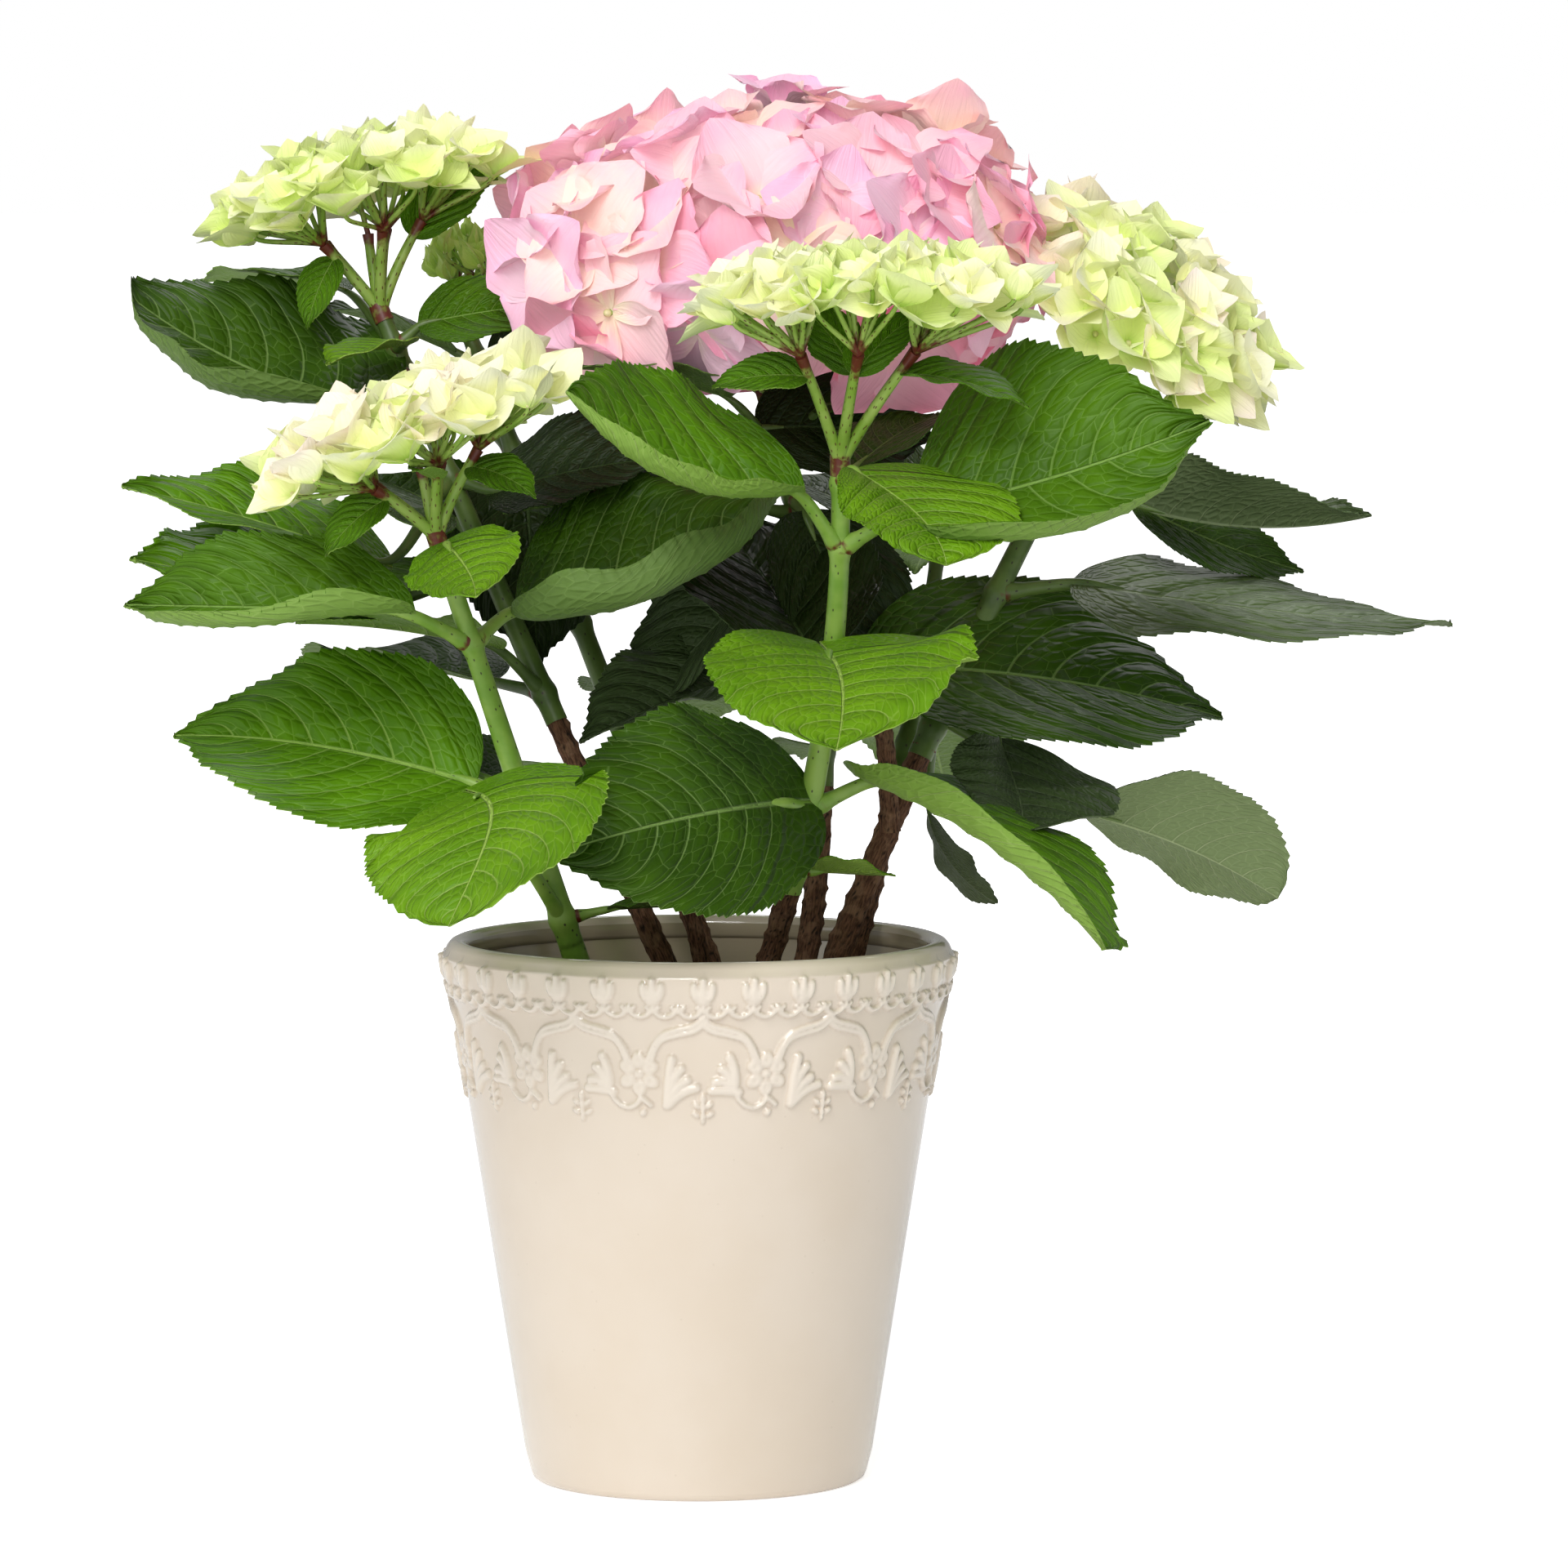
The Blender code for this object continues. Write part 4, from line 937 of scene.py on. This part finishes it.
# ================================================================ canes and stems
def cane_point(cane, z):
    """Centre line of a cane: straight from foot to top, with a parabolic bow between them."""
    s = (np.asarray(z, float) - SOIL_TOP) / (cane.top[2] - SOIL_TOP)
    x, y = (cane.foot[k] + (cane.top[k] - cane.foot[k]) * s + cane.bow[k] * 4 * s * (1 - s) for k in (0, 1))
    return vectors(x, y, z)


def cane_radius(cane, z):
    """Radius of a cane, tapering evenly from foot to top."""
    return np.interp(z, (SOIL_TOP, cane.top[2]), cane.radii)


def add_bark(piece, path, radii, seed):
    """Bark round a path: rings at old leaf joints, long ridges and cracks, and knobs, as added radius."""
    along = run_length(path)
    a = circle(BARK_COLUMNS)
    rings = np.cumsum(np.random.default_rng(seed).uniform(5, 9, 18))
    swell = sum(np.exp(-((along - ring) / 0.9) ** 2) for ring in rings)
    spot = vectors(np.cos(a) * 3.0, np.sin(a) * 3.0, along[:, None] * 0.28)
    ridge = np.abs(ripples(spot, 1.7, seed + 1))
    knobs = ripples(spot * (1, 1, 2.2), 2.9, seed + 2)
    flare = 0.12 * np.exp(-along / 5)
    grow = BARK_SHARE * (1 + 0.07 * (ridge - 0.5) + 0.04 * knobs + flare[:, None])
    out = radii[:, None] * grow + 0.40 * swell[:, None] * (1 + 0.4 * knobs)
    place = vectors(along[:, None], a * radii.mean(), seed)
    # trait marks the sunken grooves between the ridges, where the bark is painted near black as shade
    piece.add(ring_grid(path, out, BARK_COLUMNS), place, vectors(1 - ease(0.02, 0.16, ridge)))


def make_bark():
    """Brown canes up to where the green shoots start, the pruned stub and the pruned spur."""
    materials = [bark_material(), cut_material()]
    limbs = {}
    for name, cane in CANES.items():
        if name not in GREEN_CANES:
            z = np.linspace(SOIL_TOP - 3, cane.green + 2, 64)
            limbs["cane_" + name] = [(cane_point(cane, z), cane_radius(cane, z))]
    for node, (low, high, radius) in (("cane_right", SPUR), ("cane_stub", STUB)):
        path = curve((low, (np.array(low) + high) / 2 + (0.8, 0, 0), high), 34)
        limbs.setdefault(node, []).append((path, np.linspace(radius, radius * 0.9, 34)))
    for seed, (node, tubes) in enumerate(limbs.items()):
        piece = Piece()
        for step, (path, radii) in enumerate(tubes):
            add_bark(piece, path, radii, seed * 10 + step)
            if node == "cane_stub" or step == 1:
                piece.numbers[-1] = np.array([0, 1])     # the upper cap is cut wood
        piece.build(node + "_bark", materials, "wood", node)


def leaf_base(cane, leaf):
    """Where a leaf stalk leaves the cane and where it meets the blade."""
    root = cane_point(cane, leaf.node)
    return root, root + compass(leaf.out, leaf.rise) * leaf.reach


def add_stem(piece, cane, low, high, joints, seed):
    """The green stem between two heights.

    near is e^-(distance / 2.4)^2 of the nearest leaf joint. It swells the stem, and its cube reddens it.
    """
    z = np.linspace(low, high, max(24, int((high - low) / 1.4)))
    near = np.max([np.exp(-((z - joint) / 2.4) ** 2) for joint in joints], axis=0)
    radii = cane_radius(cane, z) + JOINT_SWELL * near
    add_tube(piece, cane_point(cane, z), radii, 0.36 * near ** 3, seed * 1.7, STEM_COLUMNS, cane.radii[1])


def add_stalk(piece, cane, leaf, seed):
    """A leaf stalk: it swells where it clasps the stem, arches out and runs on under the midrib."""
    root, base = leaf_base(cane, leaf)
    out = compass(leaf.out, leaf.rise) * leaf.reach
    forward = compass(leaf.heading, leaf.pitch + leaf.bend / 2)
    size = min(1.0, 0.5 + 0.5 * leaf.length / 100)
    path = curve((root, root + out * 0.55, base - forward * leaf.reach * 0.2, base,
                  base + forward * leaf.length * 0.05), 20)
    end = base + forward * leaf.length * 0.12
    path = np.concatenate([path, np.linspace(path[-1], end, 5)[1:]])
    along = run_length(path)
    beyond = along - cane_radius(cane, leaf.node)
    radii = np.interp(along / along[-1], (0, 0.66, 0.85, 1), (*STALK_RADII, 1.2, 0.5))
    radii = size * (radii + np.exp(-(beyond / 3.0) ** 2))
    rust = 0.62 * np.exp(-((beyond - 0.4) / 1.5) ** 2)
    add_tube(piece, path, radii, rust, seed + 0.5, STALK_COLUMNS, STALK_RADII[1])


# ================================================================ leaf blades
def blade_outline(t, blunt):
    """Half-width of a blade over its widest: t^a (1 - t)^b, drawn in to a longer point unless it is blunt."""
    a, b = OUTLINE_POWERS
    b = b - 0.34 * blunt
    peak = (a / (a + b)) ** a * (b / (a + b)) ** b
    drawn = 1 - 0.42 * (1 - blunt) * ease(0.78, 0.96, t)
    return np.clip(t ** a * (1 - t) ** b / peak * drawn, TIP_WIDTH, 1)


def vein_start(t, v):
    """Where on the midrib the side vein through a spot starts: t - climb(|v|) * span(t)."""
    linear, square = VEIN_CLIMB
    constant, slope, curb = VEIN_SPAN
    return t - np.abs(v) * (linear + square * np.abs(v)) * (constant + slope * t + curb * t ** 2)


def cross_section(v, leaf):
    """How far out and up each column of a blade lies, over its half-width.

    The slope is the fold, plus the hem times |v|^3 on its side. Out and up are its summed cosine and sine.
    """
    fine = np.linspace(0, 1, 61)
    out, up = np.empty_like(v), np.empty_like(v)
    for side in (-1, 1):
        hem = abs(leaf.hem) if leaf.hem * side > 0 else 0.0
        slope = np.radians(leaf.fold * (1.15 - 0.3 * fine) + hem * fine ** 3)
        for value, store in ((np.cos(slope), out), (np.sin(slope), up)):
            summed = np.concatenate([[0], np.cumsum((value[1:] + value[:-1]) / 2)]) / 60
            mine = v * side >= 0
            store[mine] = np.interp(np.abs(v[mine]), fine, summed)
    return out * np.sign(v), up


def add_blade(piece, base, leaf, seed):
    """A blade as a closed thin shell: rings of points across it, its upper side and then its back.

    The midrib is an arc whose pitch falls by bend while its heading turns by sweep, and the blade rolls
    about it. Across, it follows cross_section. The margin waves a little and is cut into forward teeth by a
    saw wave, and the base lobes reach back. The surface is raised along its own normal by the quilting
    |sin(pi * phase)| between side veins. The back follows a blade's thickness below, with its midrib and
    side veins standing out.
    """
    small = leaf.length < SMALL_LEAF
    teeth, across = (SMALL_TEETH, SMALL_ACROSS) if small else (TEETH, ACROSS)
    t = np.linspace(0, 1, teeth * TOOTH_STEPS + 1)
    v = np.linspace(-1, 1, across + 1)
    rng = np.random.default_rng(seed + 900)
    heading = leaf.heading + leaf.sweep * (t - 0.5)
    forward = compass(heading, leaf.pitch + leaf.bend * (0.5 - t))
    stride = (forward[1:] + forward[:-1]) / 2 * leaf.length / (len(t) - 1)
    midrib = base + np.concatenate([np.zeros((1, 3)), np.cumsum(stride, axis=0)])
    side = compass(heading + 90.0, 0.0)
    up = np.cross(forward, side)
    tilt = np.radians(leaf.roll + leaf.twist * (t - 0.5) + rng.uniform(-4, 4) * np.sin(pi * t))[:, None]
    side, up = side * np.cos(tilt) + up * np.sin(tilt), up * np.cos(tilt) - side * np.sin(tilt)
    tt, vv = np.meshgrid(t, v, indexing="ij")
    outward = np.abs(vv)

    edge = ease(1 - 2.0 / across, 1, outward) * ease(0.06, 0.16, tt) * ease(1.0, 0.985, tt)
    saw = (tt * teeth + 0.25 * (vv > 0)) % 1.0
    tooth = TOOTH_DEPTH * leaf.length * edge * (saw - 0.35)
    half = leaf.length * leaf.wide / 2 * blade_outline(t, leaf.blunt)[:, None]
    out, rise = cross_section(v, leaf)
    sway = ripples((tt * 3.0 + 10 * (vv > 0))[..., None], 1.3, seed)
    wave = MARGIN_WAVE * leaf.length * outward ** 3 * sway * ease(0.02, 0.2, tt) * ease(1.0, 0.85, tt)
    y = (half + tooth) * out
    z = (half + tooth) * rise + wave
    back = leaf.heart * leaf.length * vv ** 2 * np.clip(1 - tt / 0.20, 0, 1) ** 1.5
    ahead = 0.7 * tooth - back
    flat = (midrib[:, None] + y[..., None] * side[:, None] + z[..., None] * up[:, None]
            + ahead[..., None] * forward[:, None])
    normal = unit(np.cross(np.gradient(flat, axis=0), np.gradient(flat, axis=1)))

    start = vein_start(tt, vv)
    phase = SIDE_VEINS * start + VEIN_STAGGER * (vv > 0)
    pillow = np.abs(np.sin(pi * phase)) ** 0.65 - 0.5
    inside = ease(0.0, 0.10, start) * ease(1.0, 0.88, start) * ease(0.02, 0.20, outward) * (1 - outward ** 8)
    share = half * vv / leaf.length
    groove = np.exp(-(share / 0.022) ** 2) * ease(0, 0.1, tt)
    raised = leaf.length * (QUILT * pillow * inside - GROOVE * groove)
    rib = np.exp(-(share / 0.014) ** 2) * (1 - 0.7 * tt)
    vein = np.exp(-(np.minimum(phase % 1, 1 - phase % 1) / 0.07) ** 2) * inside
    below = raised - BLADE_THICKNESS / 2 - leaf.length * (RIB_HEIGHT * rib + VEIN_HEIGHT * vein)
    top = flat + normal * (raised + BLADE_THICKNESS / 2)[..., None]
    bottom = flat + normal * below[..., None]

    place, trait = vectors(tt, vv, (seed * 0.618) % 1.0), vectors(share)
    rings, place, trait = (np.concatenate([upper[:, ::-1], lower], axis=1)
                           for upper, lower in ((top, bottom), (place, place), (trait, trait)))
    number = 2 * list(LEAF_TONES).index(leaf.tone) + np.repeat((0, 1), len(v))
    piece.add(rings, place, trait, number)


def make_shoots(leaf_materials, bright, dark):
    """Each cane's green growth: one piece of stem and leaf stalks, and one piece of blades."""
    for order, (name, cane) in enumerate(CANES.items()):
        stems, blades = Piece(), Piece()
        joints = {leaf.node for leaf in LEAVES[name]}
        add_stem(stems, cane, cane.green - 1, cane.top[2] + 1.5, joints, order)
        for number, leaf in enumerate(LEAVES[name]):
            seed = order * 20 + number
            add_stalk(stems, cane, leaf, seed)
            add_blade(blades, leaf_base(cane, leaf)[1], leaf, seed)
        stems.build("stems_" + name, [dark if name in SHADED_STEMS else bright], "green_stem", "shoot_" + name)
        blades.build("leaves_" + name, leaf_materials, "leaf", "shoot_" + name)
    for order, name in enumerate(GREEN_CANES):
        stems = Piece()
        cane = CANES[name]
        add_stem(stems, cane, SOIL_TOP - 3, cane.green + 1, (SOIL_TOP + 6, cane.green + 7), 40 + order)
        stems.build("cane_" + name + "_green", [bright], "green_stem", "cane_" + name)


# ================================================================ flower heads
def head_axes(bloom):
    """Long, deep and upright axes of a flower head: the upright one leans from vertical towards lean_to."""
    up = compass(bloom.lean_to, 90.0 - bloom.lean)
    level = compass(bloom.lean_to, 0.0)
    long = unit(level - up * np.dot(level, up))
    return np.stack([long, np.cross(up, long), up])


def head_spots(bloom):
    """Directions spread evenly over the head: a golden-angle spiral from its crown down its sides."""
    count = np.arange(bloom.florets) + 0.5
    height = 1 - count / bloom.florets * (1 - np.cos(radians(bloom.spread)))
    turn = count * pi * (3 - 5 ** 0.5)
    flat = np.sqrt(1 - height ** 2)
    return vectors(flat * np.cos(turn), flat * np.sin(turn), height)


def petal_grids(bases, axes, sizes, share, kind, seed, spin):
    """Four petals for each floret as a stack of grids, with the place of each point.

    A petal's middle line leaves the claw at its rise above the floret's plane and turns by curl along its
    length. Its half-width is wide * sin(pi * (0.04 + 0.8 r^0.9))^0.8. Its last rows bulge ahead by
    ROUND * (1 - a^2) + tip * (1 - |a|)^2. Across it, the sides lift by cup * a^2 and the edge waves by
    ruffle * a^2 times two sines.
    """
    rng = np.random.default_rng(seed)
    shape = (len(bases), 4)
    r = np.linspace(0, 1, kind.rows)
    a = np.linspace(-1, 1, kind.columns)
    row = r[:, None]
    jitter = rng.normal(size=(*shape, 4))
    rise = np.interp(share, (0, 1), kind.rise) + kind.vary * rng.normal(size=len(bases)).clip(-1.6, 1.6)
    rise = rise[:, None] + 7 * jitter[..., 0]
    size = sizes[:, None] / 2 * (1 + 0.08 * jitter[..., 1])
    azimuth = spin[:, None] + np.arange(4) * pi / 2 + 0.10 * jitter[..., 2]
    pitch = np.radians(rise[..., None] + (kind.curl + 6 * jitter[..., 3:]) * r)
    step = (size * (1 - ROUND) / (kind.rows - 1))[..., None]
    middle = (pitch[..., 1:] + pitch[..., :-1]) / 2
    start = np.zeros((*shape, 1))
    reach, climb = (np.concatenate([start, np.cumsum(part(middle) * step, axis=-1)], axis=-1)[..., None]
                    for part in (np.cos, np.sin))

    side, other, out = (axis[:, None] for axis in axes)
    c, s = np.cos(azimuth)[..., None], np.sin(azimuth)[..., None]
    away, cross = (c * side + s * other)[:, :, None], (c * other - s * side)[:, :, None]
    out = out[:, :, None]
    c, s = np.cos(pitch)[..., None], np.sin(pitch)[..., None]
    lift, ahead = c * out - s * away, c * away + s * out

    size = size[..., None, None]
    half = kind.wide * np.sin(pi * (0.04 + 0.8 * row ** 0.9)) ** 0.8 * size
    phase = rng.uniform(0, 2 * pi, (*shape, 2))[..., None, None]
    waves = np.sin(2 * pi * 1.5 * row + phase[:, :, 0] + 2.0 * a)
    waves = waves + 0.5 * np.sin(2 * pi * 3.1 * row + phase[:, :, 1] - 1.5 * a)
    y = half * a * (1 + kind.ragged * rng.normal(size=(*shape, kind.rows, 1)) * np.abs(a) ** 4)
    heave = (kind.cup * half + kind.ruffle * (1 - ROUND) * size * waves * row ** 0.8) * a ** 2
    beyond = size * (ROUND * (1 - a ** 2) + kind.tip * (1 - np.abs(a)) ** 2) * ease(0.40, 1, row)
    centre = bases[:, None, None] + away * reach + out * climb
    points = centre[..., None, :] + sum(far[..., None] * way[..., None, :]
                                        for far, way in ((y, cross), (heave, lift), (beyond, ahead)))
    return points, vectors(row, a, rng.uniform(0, 1, (*shape, 1, 1)))


def beads(centres, outward, radii):
    """Small round beads as a stack of grids: circles of latitude about the outward direction."""
    lat = np.linspace(-pi / 2 + 0.3, pi / 2 - 0.2, 5)[:, None, None]
    lon = circle(7)[:, None]
    side = unit(np.cross(outward, ASKEW))
    ring = np.cos(lon) * side[:, None] + np.sin(lon) * np.cross(outward, side)[:, None]
    spot = np.cos(lat) * ring[:, None] + np.sin(lat) * outward[:, None, None]
    return centres[:, None, None] + spot * radii[:, None, None, None]


def add_flower_stalks(piece, bloom, axes, half, cane, bases, outward):
    """Stalks that fork from the shoot's tip, fork again under the head and end at the florets.

    Returns the knot and the second forks. Each floret hangs on the second fork nearest to it.
    """
    top = cane_point(cane, cane.top[2])
    along = unit(top - cane_point(cane, cane.top[2] - KNOT_LENGTH))
    knot = top + along * KNOT_LENGTH
    out, up = STALK_END
    turn = 2 * pi * (np.arange(bloom.stalks) + 0.5) / bloom.stalks
    spread = np.concatenate([vectors(np.cos(turn) * out, np.sin(turn) * out, up), [(0, 0, up)]])
    ends = bloom.centre + (spread * half) @ axes
    forks = knot + (ends - knot) * FORK_SHARE
    path = np.linspace(top - along, knot + along * 1.5, 8)
    add_tube(piece, path, np.full(8, cane.radii[1] + 0.35), np.full(8, 0.58), 3.3, 18)
    s = np.linspace(0, 1, 22)
    radii = np.interp(s, (0, 0.12, 0.85, 1), (2.4, *FLOWER_STALK_RADII, 1.9))
    rust = 0.66 * np.exp(-(s / 0.13) ** 2) + 0.74 * np.exp(-((1 - s) / 0.20) ** 2)
    for number, fork in enumerate(forks):
        bow = knot + (fork - knot) * 0.4 + along * 2.0
        add_tube(piece, curve((knot - along, bow, fork), 22), radii, rust, number + 0.3, 12)
    gap = np.linalg.norm(bases[:, None] - forks[None], axis=-1)
    radii = np.linspace(*PEDICEL_RADII, 9) * (1.5 if bloom.large > OPEN_SIZE else 1.0)
    rust = 0.66 * np.exp(-(np.linspace(0, 1, 9) / 0.30) ** 2)
    for number, (base, way, near) in enumerate(zip(bases, outward, gap.argmin(axis=1))):
        fork = forks[near]
        bow = fork + (base - fork) * 0.45 + axes[2] * 0.5
        add_tube(piece, curve((fork, bow, base - way * 3.0, base + way * 0.3), 9), radii, rust, number, 6)
    return knot, forks


def place_florets(bloom, axes, half, rng):
    """Rim, facing, size and share of the way down the head of each floret, turned a little at random."""
    spots = head_spots(bloom)
    outward = unit((spots / half) @ axes)
    is_open = bloom.large > OPEN_SIZE
    if not is_open:
        outward = unit(0.62 * outward + 0.70 * axes[2])
    outward = unit(outward + (0.15 if is_open else 0.20) * rng.normal(size=outward.shape))
    share = np.clip((1 - spots[:, 2]) / (1 - np.cos(radians(bloom.spread))), 0, 1) ** 0.8
    sizes = bloom.small + (bloom.large - bloom.small) * share
    sizes = sizes * (1 + 0.10 * rng.normal(size=len(sizes)).clip(-1.5, 1.5))
    depth = rng.uniform(0.84 if is_open else 0.76, 1.0, (len(sizes), 1))
    return np.array(bloom.centre) + (spots * half * depth) @ axes, outward, sizes, share


def make_bloom(name, order, petals, stalks, leaf_materials, eye):
    """One flower head: petals, eyes, stalks and its small leaves, each kind one piece."""
    bloom = BLOOMS[name]
    axes = head_axes(bloom)
    half = np.array(bloom.size) / 2
    node = "bloom_" + name
    slot = "pink_bloom" if name == "middle" else "cream_bloom"
    rng = np.random.default_rng(order + 50)
    rims, outward, sizes, share = place_florets(bloom, axes, half, rng)
    kind = PETAL_KINDS.get(name, CUPPED_PETALS)
    depth = sizes / 2 * np.sin(np.radians(np.interp(share, (0, 1), kind.rise) + kind.curl / 2)) * 0.9
    bases = rims - outward * (depth + 1.0)[:, None]
    side = unit(np.cross(outward, (0.3, 0.2, 0.93)))
    floret_axes = (side, np.cross(outward, side), outward)
    spin = rng.uniform(0, 2 * pi, len(sizes))
    grids, place = petal_grids(bases, floret_axes, sizes, share, kind, order + 70, spin)
    # tints by facing: florets that face the light side get the paler ones as painted light and the rest the
    # darker ones as painted shade, spread by random tone
    lit = outward @ unit(np.array(PAINTED_LIGHT_SIDE)) + 0.5 * rng.normal(size=len(sizes))
    tint = np.argsort(np.argsort(lit)) * len(petals) // len(sizes)
    blossom = Piece()
    blossom.add(grids, place, number=np.repeat(tint, 4)[:, None, None], closed=False)
    blossom.build("petals_" + name, petals, slot, node, sharp=180)
    eyes = Piece()
    eye_radii = sizes * 0.014 + 0.55
    eyes.add(beads(bases + outward * (eye_radii * 0.9)[:, None], outward, eye_radii))
    eyes.build("eyes_" + name, [eye], slot, node)
    stems = Piece()
    knot, forks = add_flower_stalks(stems, bloom, axes, half, CANES[name], bases, outward)
    stems.build("stalks_" + name, [stalks], "green_stem", node)
    if bloom.bracts:
        bracts = Piece()
        for number, (stalk, heading, pitch, length, roll) in enumerate(bloom.bracts):
            leaf = Leaf("f", 0, heading, 0, 0, heading, pitch, length, roll=roll, bend=30, wide=0.55, heart=0)
            add_blade(bracts, knot + (forks[stalk] - knot) * 0.8, leaf, order * 7 + number)
        bracts.build("bracts_" + name, leaf_materials, "leaf", node)


def make_plant():
    """Pot, soil, canes, shoots and flower heads with their materials."""
    for build in (make_vein_group, make_speckle_group, make_petal_group, make_mottle_group,
                  make_pot, make_soil, make_bark):
        build()
    leaf_materials = [make(tone) for tone in LEAF_TONES for make in (leaf_top, leaf_back)]
    bright = stem_material("stem_bright", (0.170, 0.330, 0.035), (0.290, 0.450, 0.080))
    # the darker stem green is painted shade for the canes at the back and right
    dark = stem_material("stem_shaded", (0.055, 0.105, 0.014), (0.110, 0.180, 0.035))
    stalks = stem_material("stem_flower", (0.230, 0.390, 0.045), (0.360, 0.500, 0.110), (0.090, 0.018, 0.012),
                           {"Along": 4.4, "Around": 1.6, "Size": 0.17})
    make_shoots(leaf_materials, bright, dark)
    pink = [petal_material(*colours, veined=0.16) for colours in PINK_PETALS]
    cream = [petal_material(*colours) for colours in CREAM_PETALS]
    bud = [petal_material(*colours) for colours in BUD_PETALS]
    eye = eye_material()
    petals = {"middle": pink, "back": bud, "back_left": cream[:2], "front_centre": cream[:3]}
    for order, name in enumerate(BLOOMS):
        make_bloom(name, order, petals.get(name, cream), stalks, leaf_materials, eye)


# ================================================================ camera, lights and floor
def make_camera():
    """A camera far in front that looks a little down."""
    data = bpy.data.cameras.new("camera")
    data.sensor_width = SENSOR
    data.lens = SENSOR * FOCAL_PIXELS / PICTURE_WIDTH
    camera = link("camera", data)
    camera.location = CAMERA_PLACE
    camera.rotation_euler = (pi / 2 - radians(CAMERA_DROP), 0, 0)
    bpy.context.scene.camera = camera


def make_light(name, place, size, power):
    """A soft box that faces the plant."""
    data = bpy.data.lights.new(name, "AREA")
    data.shape = "RECTANGLE"
    data.size, data.size_y = size
    data.energy = power
    light = link(name, data)
    light.location = place
    x, y, z = np.array(LIT_POINT) - place
    light.rotation_euler = (pi / 2 + np.arctan2(z, np.hypot(x, y)), 0, np.arctan2(-x, y))


def make_stage():
    """White floor before a white sky that lights softly, a large soft key from the front and softer sides.

    The camera sees the floor and the sky brighter than they light the plant.
    """
    floor = bpy.data.meshes.new("floor")
    corners = [(x * FLOOR_REACH, y * FLOOR_REACH, 0) for x, y in ((-1, -1), (1, -1), (1, 1), (-1, 1))]
    floor.from_pydata(corners, [], [(0, 1, 2, 3)])
    item = link("floor", floor)
    tree = new_material("floor_white", Roughness=0.9, Specular_IOR_Level=0.1, Emission_Color=(1, 1, 1, 1))
    away = tree.node("ShaderNodeVectorMath", {0: tree.here()}, operation="LENGTH").outputs["Value"]
    seen = tree.node("ShaderNodeLightPath").outputs["Is Camera Ray"]
    glow = tree.line(seen, tree.fade(away, 0.25, 2.2, *FLOOR_GLOW), FLOOR_LIGHT)
    tree.put(glow, tree.shader["Emission Strength"])
    floor.materials.append(tree.paint((0.9, 0.9, 0.9, 1)))
    world = bpy.data.worlds.new("studio")
    world.use_nodes = True
    tree = Tree(world.node_tree)
    sky = tree.nodes["Background"].inputs
    seen = tree.node("ShaderNodeLightPath").outputs["Is Camera Ray"]
    sky["Color"].default_value = (1, 1, 1, 1)
    tree.put(tree.line(seen, 1.0 - SKY_LIGHT, SKY_LIGHT), sky["Strength"])
    bpy.context.scene.world = world
    for lamp in LAMPS:
        make_light(*lamp)
    bpy.context.scene.view_settings.view_transform = "Standard"


make_plant()
make_camera()
make_stage()
